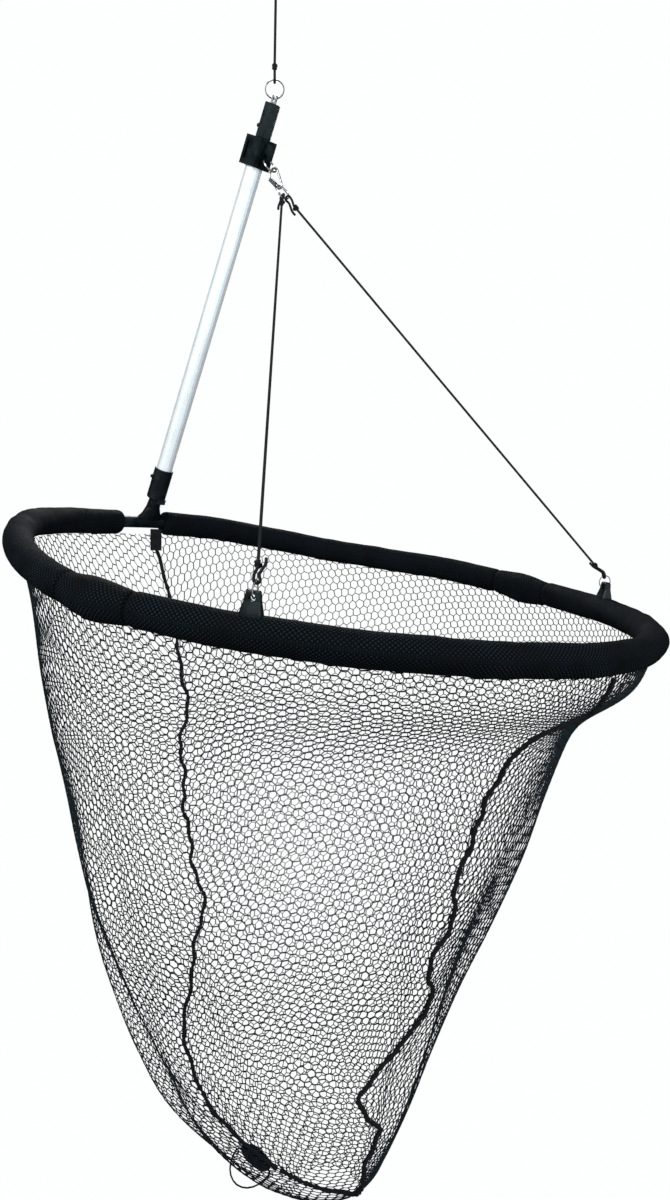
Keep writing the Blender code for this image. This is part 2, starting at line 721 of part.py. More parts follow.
# Cord lugs on the front half
def lug_frame(side):
    """On the front tube at a lug: X outwards from the hoop's middle, Y along the tube, Z up."""
    return FRONT @ Matrix.Translation(rim(side * LUG_ANGLE)) @ Matrix.Rotation(side * LUG_ANGLE, 4, "Z")


def cord_lug(side, hand):
    """A saddle on the tube whose tapered horn stands up through the sleeve to an eye."""
    frame = lug_frame(side)

    def block(half_x, half_y, height):
        cut = min(half_x, half_y) * 0.28
        inner_x, inner_y = half_x - cut, half_y - cut
        corners = ((half_x, inner_y), (inner_x, half_y), (-inner_x, half_y), (-half_x, inner_y))
        return [(x, y, height) for x, y in (*corners, *((-x, -y) for x, y in corners))]

    sections = [
        block(*LUG_BASE, -0.0088),
        block(*LUG_BASE, 0.0080),
        block(0.0076, 0.0106, 0.0185),
        block(0.0045, 0.0082, 0.0300),
        block(0.0041, 0.0068, 0.0385),
        block(0.0032, 0.0056, LUG_TOP),
    ]
    lug = loft(f"cord_lug_{hand}", sections, frame, BLACK_PLASTIC, 30)
    tube = [rim(side * (LUG_ANGLE + along_rim(0.010) * (i - 2))) for i in range(5)]
    boolean(lug, rod(f"lug_{hand}_bore", tube, TUBE_R + TUBE_PLAY, 12, FRONT, BLACK_PLASTIC), "DIFFERENCE")
    eye = frame @ Matrix.Translation((0, 0, LUG_EYE_HEIGHT)) @ Matrix.Rotation(radians(90), 4, "Y")
    drill(lug, f"lug_{hand}_eye", LUG_EYE_R, -0.012, 0.012, eye)
    screw = frame @ Matrix.Rotation(pi, 4, "X")
    drill(lug, f"lug_{hand}_screw_hole", LUG_SCREW_HOLE_R, 0.0050, 0.012, screw)
    shank = ((0, 0.0060), (0.0012, 0.0060), (0.0012, 0.0091))
    head = ((0.0029, 0.0091), (0.0024, 0.0104), (0, 0.0108))
    lathe(f"lug_screw_{hand}", (*shank, *head), 10, screw, STEEL)
    torus(f"lug_clip_{hand}", CLIP_R, CLIP_WIRE_R, clip_frame(side), STEEL, 18, 6)


def clip_frame(side):
    """In the middle of a lug's wire clip: X towards the cord, Z square to the clip. The clip leans in with
    the cord's pull, so its wire crosses the lug's eye askew."""
    lean = Matrix.Rotation(-CLIP_LEAN, 4, "Y")
    stand = Matrix.Rotation(radians(-90), 4, "Y") @ Matrix.Rotation(radians(-90), 4, "X")
    eye = lug_frame(side) @ Matrix.Translation((0, 0, LUG_EYE_HEIGHT))
    return eye @ lean @ Matrix.Translation((0, 0, CLIP_R - 0.0010)) @ stand


# Bridle
def clip_top(side):
    """Where a cord's loop passes round the top of its lug clip."""
    return clip_frame(side) @ Vector((CLIP_R, 0, 0))


def bridle_direction():
    """From the collar's eye towards the middle of the two lug clips."""
    aimed = (clip_top(1) + clip_top(-1)) / 2
    return (aimed - EYE_POINT).normalized()


def bridle_point(distance):
    return EYE_POINT + bridle_direction() * distance


def bridle_hardware():
    down = bridle_direction()
    across = Vector((0, 1, 0))
    normal = down.cross(across)
    ring = aim(bridle_point(BRIDLE_LENGTHS["collar_ring"]), normal, down)
    torus("collar_ring", COLLAR_RING_R, COLLAR_RING_WIRE_R, ring, STEEL, 22, 6)
    ring = aim(bridle_point(BRIDLE_LENGTHS["bridle_ring"]), normal, across)
    split_ring("bridle_ring", BRIDLE_RING_R, ring, STEEL)
    carabiner(carabiner_frame())


def carabiner_frame():
    """In the carabiner's middle: Z up its length, Y square to its face, X towards the arm's foot."""
    return aim(bridle_point(BRIDLE_LENGTHS["carabiner"]), -bridle_direction(), Vector((1, 0, 0)))


def carabiner(frame):
    """A spring hook: a round bow on top, a straight spine, a small round foot, and a sheet-metal gate."""
    half = 0.0165
    bow_r = 0.0078
    bow = [Vector((x, 0, z)) for x, z in arc((0.0, half - bow_r), bow_r, -8, 176, 11)]
    foot = [Vector((x, 0, z)) for x, z in arc((-0.0005, -half + 0.0040), 0.0040, 200, 350, 7)]
    pivot = Vector((GATE_PIVOT[0], 0, GATE_PIVOT[1] + 0.0012))
    route = [*bow, Vector((-0.0066, 0, 0.0)), *foot, pivot]
    body = rod("carabiner", route, CARABINER_WIRE_R, 8, frame, STEEL, up=Vector((0, 1, 0)), smooth_deg=60)
    pivot = frame @ Matrix.Translation((GATE_PIVOT[0], 0, GATE_PIVOT[1]))
    pin_axis = pivot @ Matrix.Rotation(radians(90), 4, "X")
    hole = bored_cylinder("carabiner_pin_hole", GATE_PIN_HOLE_R, -0.005, 0.005, pin_axis)
    boolean(body, hole, "DIFFERENCE")
    lathe("gate_pin", ((0, -0.0029), (0.00055, -0.0029), (0.00055, 0.0029), (0, 0.0029)), 10, pin_axis, STEEL)
    run = Vector((GATE_TOP[0] - GATE_PIVOT[0], 0, GATE_TOP[1] - GATE_PIVOT[1]))
    gate_frame = frame @ aim(Vector((GATE_PIVOT[0], 0, GATE_PIVOT[1])), run, Vector((1, 0, 0)))
    length = run.length
    gate = box("carabiner_gate", (-0.0020, -0.0026, -0.0010), (0.0027, 0.0026, length), gate_frame, STEEL)
    channel = box("gate_channel", (-0.0060, -0.0019, -0.0060), (0.0021, 0.0019, 0.0060), gate_frame, STEEL)
    boolean(gate, channel, "DIFFERENCE")
    gate_hole = bored_cylinder("gate_pin_hole", GATE_PIN_HOLE_R, -0.005, 0.005, pin_axis)
    boolean(gate, gate_hole, "DIFFERENCE")


def knot(name, origin, along, strand_r, finish, size=1.0):
    """A turned barrel with a bore for the strand that it is tied on."""
    bore = strand_r + TOUCH_GAP
    half = KNOT_HALF * size
    belly = 0.0049 * size
    profile = (
        (bore, -half),
        (belly - 0.0012, -half),
        (belly, -half * 0.4),
        (belly, half * 0.4),
        (belly - 0.0012, half),
        (bore, half),
    )
    return lathe(name, profile, 10, aim(origin, along, Vector((0.3, 1, 0))), finish)


def loop_round(wire_point, wire_r, half_pitch, away, beside, strand_r):
    """A strand's turn round a wire, or round a split ring's two turns at half_pitch to each side: one leg,
    the bend past the far side, and the other leg. away points from the wire to the strand's knot."""
    reach = wire_r + strand_r + 2 * TOUCH_GAP
    leg = beside * (reach + half_pitch)
    bend = []
    for turn in (0, 40, 80, 100, 140, 180):
        sideways = reach * cos(radians(turn)) + (half_pitch if turn < 90 else -half_pitch)
        bend.append(wire_point + beside * sideways - away * (reach * sin(radians(turn))))
    return [wire_point + away * 0.0058 + leg * 0.80, *bend, wire_point + away * 0.0058 - leg * 0.80]


def bridle_cord(side, hand):
    """From its knot on the bridle ring down to its knot and loop on the lug clip, in one straight line
    through the ring's middle. Each loop's short end comes back out beside its knot."""
    middle = bridle_point(BRIDLE_LENGTHS["bridle_ring"])
    low_wire = clip_top(side)
    down = (low_wire - middle).normalized()
    ring_normal = bridle_direction().cross(Vector((0, 1, 0)))
    ring_wire = middle + down * BRIDLE_RING_R
    top_knot = ring_wire + down * TOP_LOOP_LENGTH
    low_knot = low_wire - down * LOW_LOOP_LENGTH
    clip_turn = clip_frame(side).to_3x3()
    clip_wire = clip_turn @ Vector((0, 1, 0))
    away = (clip_wire * down.dot(clip_wire) - down).normalized()
    beside = clip_wire.cross(away)
    route = [
        top_knot + ring_normal * 0.0072 + down * 0.0060,
        top_knot + ring_normal * 0.0072 - down * 0.0010,
        *loop_round(ring_wire, SPLIT_WIRE_R, SPLIT_PITCH / 2, down, ring_normal, CORD_R),
        top_knot - down * (KNOT_HALF + 0.0008),
        top_knot,
        low_knot,
        low_knot + down * (KNOT_HALF + 0.0008),
        *loop_round(low_wire, CLIP_WIRE_R + 0.0001, 0.0, away, beside, CORD_R),
        low_knot - beside * 0.0072 + down * 0.0020,
        low_knot - beside * 0.0076 - down * 0.0060,
    ]
    steps = (2, 2, *LOOP_STEPS, 2, 1, 16, 1, 2, *LOOP_STEPS, 2, 2)
    wire(f"bridle_cord_{hand}", smooth_route(route, steps), CORD_R, Matrix(), BLACK_CORD)
    knot(f"bridle_top_knot_{hand}", top_knot, down, CORD_R, BLACK_CORD)
    knot(f"bridle_low_knot_{hand}", low_knot, down, CORD_R, BLACK_CORD)


# Haul line
def top_ring_frame():
    """The split ring stands in the fork's eye, square to it, and hangs in line with the haul line."""
    across = (ARM.to_3x3() @ Matrix.Rotation(BUTTON_AZIMUTH, 3, "Z")) @ Vector((1, 0, 0))
    eye = ARM @ Vector((0, 0, SPIGOT_TOP + TOUCH_GAP + 0.0070))
    middle = eye + Vector((0, 0, TOP_RING_R - 0.0005))
    level = Vector((across.x, across.y, 0)).normalized()
    normal = level.cross(Vector((0, 0, 1)))
    return aim(middle, normal, level)


def haul_line():
    """From its knot on the split ring straight up to the hand loop, whose top is the origin."""
    ring = top_ring_frame()
    up = Vector((0, 0, 1))
    beside = ring.to_3x3() @ up
    wire_point = ring.translation + up * TOP_RING_R
    foot_knot = wire_point + up * 0.0175
    head_knot = Vector((0.0, 0.0, -0.0480))
    route = [
        foot_knot + beside * 0.0080 + up * 0.0060,
        foot_knot + beside * 0.0080 - up * 0.0010,
        *loop_round(wire_point, SPLIT_WIRE_R, SPLIT_PITCH / 2, up, beside, LINE_R),
        foot_knot - up * (1.1 * KNOT_HALF + 0.0008),
        foot_knot,
        head_knot,
        head_knot + up * 0.0048,
        Vector((0.0, -0.0105, -0.0270)),
        Vector((0.0, -0.0080, -0.0090)),
        Vector((0.0, 0.0, -LINE_R)),
        Vector((0.0, 0.0080, -0.0090)),
        Vector((0.0, 0.0120, -0.0270)),
        head_knot + Vector((0, 0.0088, 0.0040)),
        head_knot + Vector((0, 0.0082, -0.0060)),
    ]
    steps = (2, 2, *LOOP_STEPS, 2, 1, 8, 1, 2, 2, 3, 3, 2, 2, 2)
    wire("haul_line", smooth_route(route, steps), LINE_R, Matrix(), BLACK_CORD)
    knot("haul_foot_knot", foot_knot, up, LINE_R, BLACK_CORD, 1.1)
    knot("haul_loop_knot", head_knot, up, LINE_R, BLACK_CORD, 1.1)
    split_ring("top_split_ring", TOP_RING_R, ring, STEEL)


# Bag
def bag_point(row, angle, inset=0.0):
    """A point of the bag's outside. The bag starts under the tilted sleeve and settles level further down."""
    depth, radius, swing = BAG_PROFILE[row][:3]
    settle = min(1.0, depth / 0.19)
    settle = settle * settle * (3 - 2 * settle)
    radius -= inset
    level = HOOP_CENTRE + BAG_SWING * swing + Vector((radius * cos(angle), radius * sin(angle), -depth))
    under = rim_world(angle) - HOOP_CENTRE - Vector((0, 0, BAG_TOP_DROP))
    tilted = HOOP_CENTRE + under * (radius / HOOP_RADIUS)
    tilted.z = HOOP_CENTRE.z + under.z - depth * (1.0 + under.z / BAG_DEPTH)
    return tilted * (1 - settle) + level * settle


def net_panel(name, start, end):
    """Half of the bag, from one seam round to the other: an open shell of netting with a thin wall. start and
    end give the row's two seam angles."""
    bm = bmesh.new()
    outer = []
    inner = []
    for row, (_, radius, _, _, _) in enumerate(BAG_PROFILE):
        clear = (SEAM_R + TOUCH_GAP + 0.0016) / radius
        low = start(row) + clear
        turns = [low + (end(row) - clear - low) * k / BAG_COLUMNS for k in range(BAG_COLUMNS + 1)]
        outer.append([bm.verts.new(bag_point(row, a)) for a in turns])
        inner.append([bm.verts.new(bag_point(row, a, min(BAG_WALL, radius * 0.4))) for a in turns])
    for rows in (outer, inner):
        for low, high in zip(rows, rows[1:]):
            for k in range(BAG_COLUMNS):
                bm.faces.new((low[k], low[k + 1], high[k + 1], high[k]))
    for row in (0, -1):
        for k in range(BAG_COLUMNS):
            bm.faces.new((outer[row][k], outer[row][k + 1], inner[row][k + 1], inner[row][k]))
    for k in (0, -1):
        for low in range(len(BAG_PROFILE) - 1):
            bm.faces.new((outer[low][k], outer[low + 1][k], inner[low + 1][k], inner[low][k]))
    return solid(name, bm, Matrix(), BLACK_MESH, 60)


def rear_seam(row):
    return radians(BAG_PROFILE[row][3])


def front_seam(row):
    return radians(BAG_PROFILE[row][4])


def bag():
    """Two panels and the cords over their seams. The front cord runs down, under the bag and up to the patch,
    where the rear cord ends."""
    net_panel("net_panel_left", rear_seam, front_seam)
    net_panel("net_panel_right", front_seam, lambda row: rear_seam(row) + tau)
    rows = range(len(BAG_PROFILE))
    middle = BAG_WALL / 2
    rear = [bag_point(row, rear_seam(row), middle) for row in rows[:PATCH_ROW]]
    front = [bag_point(row, front_seam(row), middle) for row in rows[:-1]]
    under = [bag_point(row, rear_seam(row), middle) for row in rows[-2:PATCH_ROW:-1]]
    rod("seam_cord_rear", rear, SEAM_R, 6, Matrix(), BLACK_CORD)
    rod("seam_cord_front", front + under, SEAM_R, 6, Matrix(), BLACK_CORD)


def patch_frame():
    """On the outside of the bag over its rear seam: Z points out of the bag and X up along the seam."""
    angle = rear_seam(PATCH_ROW)
    up = (bag_point(PATCH_ROW - 1, angle) - bag_point(PATCH_ROW + 1, angle)).normalized()
    out = Vector((cos(angle), sin(angle), 0.0))
    out = (out - up * out.dot(up)).normalized()
    return aim(bag_point(PATCH_ROW, angle) + out * 0.0036, out, up)


def bottom_patch():
    """A woven oval near the bag's lowest point joins the seams, with a loop in a keeper to pull it by."""
    frame = patch_frame()

    def oval(scale, height):
        turns = [tau * k / 18 for k in range(18)]
        return [(PATCH_HALF[0] * scale * cos(a), PATCH_HALF[1] * scale * sin(a), height) for a in turns]

    sections = [oval(0.90, -0.0016), oval(1.0, -0.0008), oval(1.0, 0.0006), oval(0.88, 0.0016)]
    loft("bottom_patch", sections, frame, BLACK_FABRIC, 50)
    keeper = box("patch_keeper", (-0.0110, -0.0050, 0.0019), (0.0110, 0.0050, 0.0074), frame, BLACK_FABRIC)
    channel = box("keeper_channel", (-0.02, -0.0019, 0.0027), (0.02, 0.0019, 0.0065), frame, BLACK_FABRIC)
    boolean(keeper, channel, "DIFFERENCE")
    axis = frame.to_3x3() @ Vector((1, 0, 0))
    down = (axis * axis.z - Vector((0, 0, 1))).normalized()
    hang = aim(frame @ Vector((0, 0, 0.0046)), -down, axis)
    turns = [radians(a) for a in range(180, 361, 15)]
    bow = [(PULL_LOOP_HALF * cos(a), PULL_LOOP_DROP * sin(a) - 0.004) for a in turns]
    ends = PULL_LOOP_HALF - 0.002
    route = [Vector((x, 0, z)) for x, z in ((-ends, 0.0), *bow, (ends, 0.0))]
    closed_loop("pull_loop", route, 0.0013, hang)


def closed_loop(name, route, wire_r, frame):
    """A wire along a closed flat route in the frame's XZ plane, with squared joints."""
    bm = bmesh.new()
    sides = 6
    rings = []
    count = len(route)
    for i, point in enumerate(route):
        ahead = (route[(i + 1) % count] - point).normalized()
        behind = (point - route[i - 1]).normalized()
        tangent = (ahead + behind).normalized()
        across = tangent.cross(Vector((0, 1, 0))).normalized()
        spread = wire_r / max(0.5, sqrt((1 + ahead.dot(behind)) / 2))
        turns = [tau * k / sides for k in range(sides)]
        corners = [point + across * (spread * cos(a)) + Vector((0, wire_r * sin(a), 0)) for a in turns]
        rings.append([bm.verts.new(corner) for corner in corners])
    for i in range(count):
        low = rings[i]
        high = rings[(i + 1) % count]
        for k in range(sides):
            n = (k + 1) % sides
            bm.faces.new((low[k], low[n], high[n], high[k]))
    return solid(name, bm, frame, BLACK_PLASTIC, 60)


def seam_tab():
    """The sleeve's webbing end, hanging under the tee inside the rear seam."""
    frame = Matrix.Translation(TEE_POINT)
    box("seam_tab", (-0.0190, -0.0100, -0.0440), (-0.0170, 0.0100, -0.0112), frame, BLACK_FABRIC)


hoop_tubes()
sleeves()
fold_hinges()
tee()
lower_socket()
arm_tube()
snap_button("lower_snap_button", LOWER_BUTTON_AT, LOWER_BUTTON_FACE)
snap_spring()
collar()
collar_rivet()
top_spigot()
snap_button("upper_snap_button", UPPER_BUTTON_AT, HEX_R * cos(radians(30)))
button_spring()
eye_fork()
for lug_side, lug_hand in ((1, "left"), (-1, "right")):
    cord_lug(lug_side, lug_hand)
    bridle_cord(lug_side, lug_hand)
bridle_hardware()
haul_line()
bag()
bottom_patch()
seam_tab()
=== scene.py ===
"""Looks of the drop net: netting, sleeves, cords, knots, plastics and metals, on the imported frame."""

import json
from math import cos, pi, radians, sin, tau

import bpy
import numpy as np
from mathutils import Matrix, Vector


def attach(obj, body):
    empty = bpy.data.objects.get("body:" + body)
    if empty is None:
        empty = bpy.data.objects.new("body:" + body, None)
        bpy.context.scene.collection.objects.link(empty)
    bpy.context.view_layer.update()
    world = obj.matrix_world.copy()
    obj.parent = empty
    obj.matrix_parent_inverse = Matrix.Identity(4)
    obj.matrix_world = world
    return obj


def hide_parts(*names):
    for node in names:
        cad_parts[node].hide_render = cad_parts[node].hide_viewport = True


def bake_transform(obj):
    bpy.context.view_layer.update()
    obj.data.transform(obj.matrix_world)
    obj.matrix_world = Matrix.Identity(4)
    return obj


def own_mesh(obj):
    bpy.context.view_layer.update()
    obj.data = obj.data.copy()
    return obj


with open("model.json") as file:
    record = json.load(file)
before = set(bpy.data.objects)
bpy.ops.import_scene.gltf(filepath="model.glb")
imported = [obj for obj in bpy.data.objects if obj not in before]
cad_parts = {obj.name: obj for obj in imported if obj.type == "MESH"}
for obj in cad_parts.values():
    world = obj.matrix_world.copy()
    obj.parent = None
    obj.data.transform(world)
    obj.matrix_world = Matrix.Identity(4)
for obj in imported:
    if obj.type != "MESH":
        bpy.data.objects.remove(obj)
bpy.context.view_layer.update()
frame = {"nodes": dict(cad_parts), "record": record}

ROOT = "arm_and_rear_hoop"
FRONT = "front_hoop"
rng = np.random.default_rng(7)

# Hoop and bag, as in the part
HOOP_CENTRE = np.array((-0.1093, 0.0, -0.850))
HOOP_RADIUS = 0.400
FOLD_ANGLE = radians(95.3)
FOLD_X = HOOP_RADIUS * cos(FOLD_ANGLE)
HOOP_TILT = radians(9.95)
REAR_RISE = radians(3.55)
REAR_TWIST = 0.012
PIN_RISE = 0.010
SLEEVE_R = 0.0185
CUFF_HALF = 0.0465
FOLD_POINT = np.array((-0.14742, 0.0, -0.846535))
LUG_ANGLE = radians(120.25)
BAG_SWING = np.array((0.7470, 0.6650, 0.0))
BAG_DEPTH = 0.801
BAG_TOP_DROP = SLEEVE_R + 0.0006
# the columns of the bag's profile: depth, radius, how far it swings aside, and the two seams in degrees
DEPTH, RADIUS, SWING, REAR_SEAM, FRONT_SEAM = range(5)
BAG_PROFILE = np.array((
    (0.000, 0.398, 0.000, 0, 180), (0.095, 0.368, 0.018, -6, 180), (0.175, 0.331, 0.030, -10, 173),
    (0.250, 0.307, 0.038, -8, 169), (0.330, 0.286, 0.046, -8, 171), (0.410, 0.260, 0.056, -10, 171),
    (0.490, 0.228, 0.062, -11, 178), (0.575, 0.195, 0.062, 2, 162), (0.650, 0.163, 0.056, 18, 168),
    (0.700, 0.133, 0.046, 26, 173), (0.733, 0.109, 0.037, 28, 173), (0.763, 0.082, 0.026, 29, 175),
    (0.783, 0.054, 0.016, 29, 180), (0.796, 0.026, 0.010, 29, 195), (0.801, 0.0045, 0.008, 29, 209)))

# Arm, lugs, rings and cords, as in the part
ARM_LEAN = radians(26.16)
BUTTON_AZIMUTH = radians(41.7)
EYE_REACH = 0.0195
EYE_AT = 0.5530
FORK_EYE_AT = 0.6289
LUG_EYE_HEIGHT = 0.0330
CLIP_R = 0.0088
CLIP_WIRE_R = 0.0008
CLIP_LEAN = radians(20)
SPLIT_WIRE_R = 0.00070
SPLIT_PITCH = 0.00186
TOP_RING_R = 0.0126
BRIDLE_RING_R = 0.0110
BRIDLE_RING_AT = 0.0605
CORD_R = 0.0016
LINE_R = 0.00175
TOUCH_GAP = 0.0003
KNOT_HALF = 0.0034
TOP_LOOP_LENGTH = 0.0160
LOW_LOOP_LENGTH = 0.0200
LOOP_STEPS = (2, 1, 1, 1, 1, 1, 2)

# The bag as it hangs: where it has settled level below the hoop, and the slack in its net
BAG_MIDDLE = HOOP_CENTRE + (0.03, 0.03, -0.35)
BAG_LEAST_R = 0.003
SETTLED_AT = 0.19
SLACK = 0.0042
SLACK_FULL_AT = 0.45
SLACK_ENDS_AT = 0.79
SLACK_INSET = 0.0010
GATHER = 0.16

# The netting: its cells, how far their rows are turned on each panel, and its twines
CELL = 0.0116
LATTICE_TURN = {1: radians(80), -1: radians(14)}
CORNER_PLAY = 0.00045
KNITTED_TWINE_R = 0.00078
SLANTING_TWINE_R = 0.00058
SHORTEST_TWINE = 0.0008
LONGEST_TWINE = 0.014
TWINE_OVERLAP = 0.0002
NET_FOOT = 0.792

# The seams, with their ends as depths down the bag
SEAM_ROLL_R = 0.0027
SEAM_SIDES = 10
SEAM_HEAD = 0.004
SEAM_FOOT = 0.8005
REAR_SEAM_FOOT = 0.778
UNDER_SEAM_END = 0.780
REAR_KINK = 0.0010
FRONT_KINK = 0.0046

# The knots and the bridle's cords
ROPE_SIDES = 12
KNOT_REACH = 0.0035
CORD_KNOT_STRAND_R = 0.00125
LINE_KNOT_STRAND_R = 0.00140

# The sleeves, with their ends as angles along the hoop
SLEEVE_SIDES = 30
SLEEVE_STEP = 0.0035
SLEEVE_INSET = 0.0007
BUNCH_HEIGHT = 0.00042
DENT_HEIGHT = 0.00075
SLEEVE_SEAM_HEIGHT = 0.0011
DRAWN_IN = 0.006
LEFT_SLEEVE_START = 0.149
RIGHT_SLEEVE_START = 0.065
HINGE_GAP = 0.121

# Camera, fitted to the photograph, with its place given from the hoop's centre
SENSOR = 36.0
LENS = 31.02
CAMERA_PLACE = (-0.89326, 1.00674, 0.0247)
CAMERA_AIM = (0.66443, -0.74671, -0.03090)


# Materials
class NodeTree:
    """A node tree whose nodes are added by kind, with their settings and inputs by name."""

    def __init__(self, tree):
        self.tree = tree

    def add(self, kind, **values):
        node = self.tree.nodes.new(kind)
        for key, value in values.items():
            if hasattr(node, key):
                setattr(node, key, value)
            else:
                node.inputs[key.replace("_", " ")].default_value = value
        return node

    def join(self, source, target):
        self.tree.links.new(source, target)


class Finish(NodeTree):
    """A Principled material and its textures."""

    def __init__(self, name, color, roughness, metallic=0.0, gloss=0.5):
        self.material = bpy.data.materials.new(name)
        self.material.use_nodes = True
        super().__init__(self.material.node_tree)
        self.shader = self.tree.nodes["Principled BSDF"]
        self.shader.inputs["Base Color"].default_value = (*color, 1.0)
        self.shader.inputs["Roughness"].default_value = roughness
        self.shader.inputs["Metallic"].default_value = metallic
        self.shader.inputs["Specular IOR Level"].default_value = gloss

    def where(self, output="Object", scale=(1, 1, 1), turn=(0, 0, 0)):
        mapping = self.add("ShaderNodeMapping", Scale=scale, Rotation=turn)
        self.join(self.add("ShaderNodeTexCoord").outputs[output], mapping.inputs["Vector"])
        return mapping.outputs["Vector"]

    def noise(self, vector, scale, detail=3.0):
        made = self.add("ShaderNodeTexNoise", Scale=scale, Detail=detail, Roughness=0.55)
        self.join(vector, made.inputs["Vector"])
        return made.outputs["Fac"]

    def wave(self, vector, scale, direction, distortion=0.0):
        made = self.add("ShaderNodeTexWave", bands_direction=direction, Scale=scale, Distortion=distortion)
        self.join(vector, made.inputs["Vector"])
        return made.outputs["Fac"]

    def math(self, operation, first, second):
        made = self.add("ShaderNodeMath", operation=operation)
        self.join(first, made.inputs[0])
        self.join(second, made.inputs[1])
        return made.outputs[0]

    def spread(self, value, low, high, out_low, out_high):
        made = self.add("ShaderNodeMapRange", From_Min=low, From_Max=high, To_Min=out_low, To_Max=out_high)
        self.join(value, made.inputs["Value"])
        return made.outputs["Result"]

    def paint(self, value, first, second, low, high):
        """The first colour where the value is low, and the second where it is high."""
        ramp = self.add("ShaderNodeValToRGB")
        self.join(value, ramp.inputs["Fac"])
        for stop, color, position in zip(ramp.color_ramp.elements, (first, second), (low, high)):
            stop.position = position
            stop.color = (*color, 1)
        self.join(ramp.outputs["Color"], self.shader.inputs["Base Color"])

    def rough(self, value):
        self.join(value, self.shader.inputs["Roughness"])

    def bump(self, height, strength, distance):
        made = self.add("ShaderNodeBump", Strength=strength, Distance=distance)
        self.join(height, made.inputs["Height"])
        self.join(made.outputs["Normal"], self.shader.inputs["Normal"])


def moulded_plastic():
    """Near black with a fine moulded grain, and a little paler at the edges, as rubbed wear and as a painted
    highlight.
    """
    made = Finish("moulded_black_plastic", (0.007, 0.010, 0.012), 0.38, gloss=0.10)
    place = made.where()
    cloud = made.noise(place, 60.0, 4.0)
    edge = made.spread(made.add("ShaderNodeNewGeometry").outputs["Pointiness"], 0.50, 0.60, 0.0, 1.0)
    # paler edges: partly rubbed wear, partly a painted highlight along the glossy bevels
    rubbed_and_lit_edges = made.math("MULTIPLY", edge, made.spread(cloud, 0.4, 0.65, 0.2, 1.0))
    made.paint(rubbed_and_lit_edges, (0.0012, 0.0028, 0.0036), (0.0110, 0.0180, 0.0210), 0.05, 0.95)
    made.rough(made.spread(cloud, 0.3, 0.7, 0.28, 0.46))
    made.bump(made.noise(place, 2400.0, 2.0), 0.18, 0.0002)
    return made.material


def satin_aluminium():
    """Drawn tube: fine streaks along the arm, and faint handling marks."""
    made = Finish("satin_aluminium", (0.83, 0.90, 0.93), 0.34, 0.55)
    streak = made.noise(made.where(scale=(900.0, 900.0, 7.0), turn=(0, ARM_LEAN, 0)), 1.0)
    marks_and_reflections = made.noise(made.where(), 28.0, 5.0)
    made.paint(marks_and_reflections, (0.83, 0.89, 0.92), (0.90, 0.95, 0.98), 0.30, 0.62)
    handled = made.spread(marks_and_reflections, 0.45, 0.7, 0.0, 0.05)
    made.rough(made.math("ADD", made.spread(streak, 0.3, 0.7, 0.26, 0.34), handled))
    made.bump(streak, 0.06, 0.0001)
    return made.material


def bright_steel():
    made = Finish("bright_steel_wire", (0.66, 0.67, 0.69), 0.16, 1.0)
    marks_and_reflections = made.noise(made.where(), 420.0, 5.0)
    # the dark patches paint dark reflections into the steel's colour; the marks themselves show only in its
    # roughness and bump
    made.paint(marks_and_reflections, (0.16, 0.165, 0.17), (0.46, 0.47, 0.48), 0.3, 0.7)
    made.rough(made.spread(marks_and_reflections, 0.3, 0.7, 0.10, 0.30))
    made.bump(marks_and_reflections, 0.05, 0.0001)
    return made.material


def woven_sleeve():
    """Woven cover: threads that slant both ways round the tube, over a darker ground."""
    made = Finish("woven_sleeve", (0.006, 0.008, 0.010), 0.80, gloss=0.05)
    one = made.wave(made.where("UV"), 125.0, "DIAGONAL", 0.5)
    two = made.wave(made.where("UV", (1, -1, 1)), 125.0, "DIAGONAL", 0.5)
    weave = made.math("MULTIPLY", one, two)
    cloud = made.noise(made.where(), 24.0, 5.0)
    lit = made.math("MULTIPLY", weave, made.spread(cloud, 0.3, 0.7, 0.45, 1.0))
    made.paint(lit, (0.0004, 0.0008, 0.0012), (0.0085, 0.0170, 0.0240), 0.15, 0.85)
    made.rough(made.spread(cloud, 0.3, 0.7, 0.72, 0.92))
    made.bump(made.math("ADD", made.math("MAXIMUM", one, two), weave), 0.55, 0.0006)
    return made.material


def webbing():
    """Flat woven tape and patch cloth, on object coordinates."""
    made = Finish("black_webbing", (0.006, 0.007, 0.009), 0.82, gloss=0.10)
    place = made.where()
    weave = made.math("MULTIPLY", made.wave(place, 180.0, "X", 0.5), made.wave(place, 180.0, "Z", 0.5))
    made.paint(weave, (0.0012, 0.0015, 0.0020), (0.012, 0.014, 0.017), 0.1, 0.9)
    made.rough(made.spread(made.noise(place, 60.0), 0.3, 0.7, 0.75, 0.92))
    made.bump(weave, 0.6, 0.0005)
    return made.material


def braided_cord():
    """Strands that slant both ways round the cord, on its own UV, with some fuzz."""
    made = Finish("braided_black_cord", (0.006, 0.007, 0.008), 0.72, gloss=0.12)
    one = made.wave(made.where("UV", (280.0, 1.6, 1.0), (0, 0, radians(30))), 1.0, "X")
    two = made.wave(made.where("UV", (280.0, 1.6, 1.0), (0, 0, radians(-30))), 1.0, "X")
    braid = made.math("MAXIMUM", one, two)
    fuzz = made.noise(made.where(), 700.0)
    made.paint(made.math("MULTIPLY", braid, fuzz), (0.0010, 0.0012, 0.0015), (0.014, 0.016, 0.019), 0.1, 0.7)
    made.rough(made.spread(fuzz, 0.3, 0.7, 0.65, 0.85))
    made.bump(made.math("ADD", braid, fuzz), 0.5, 0.0004)
    return made.material


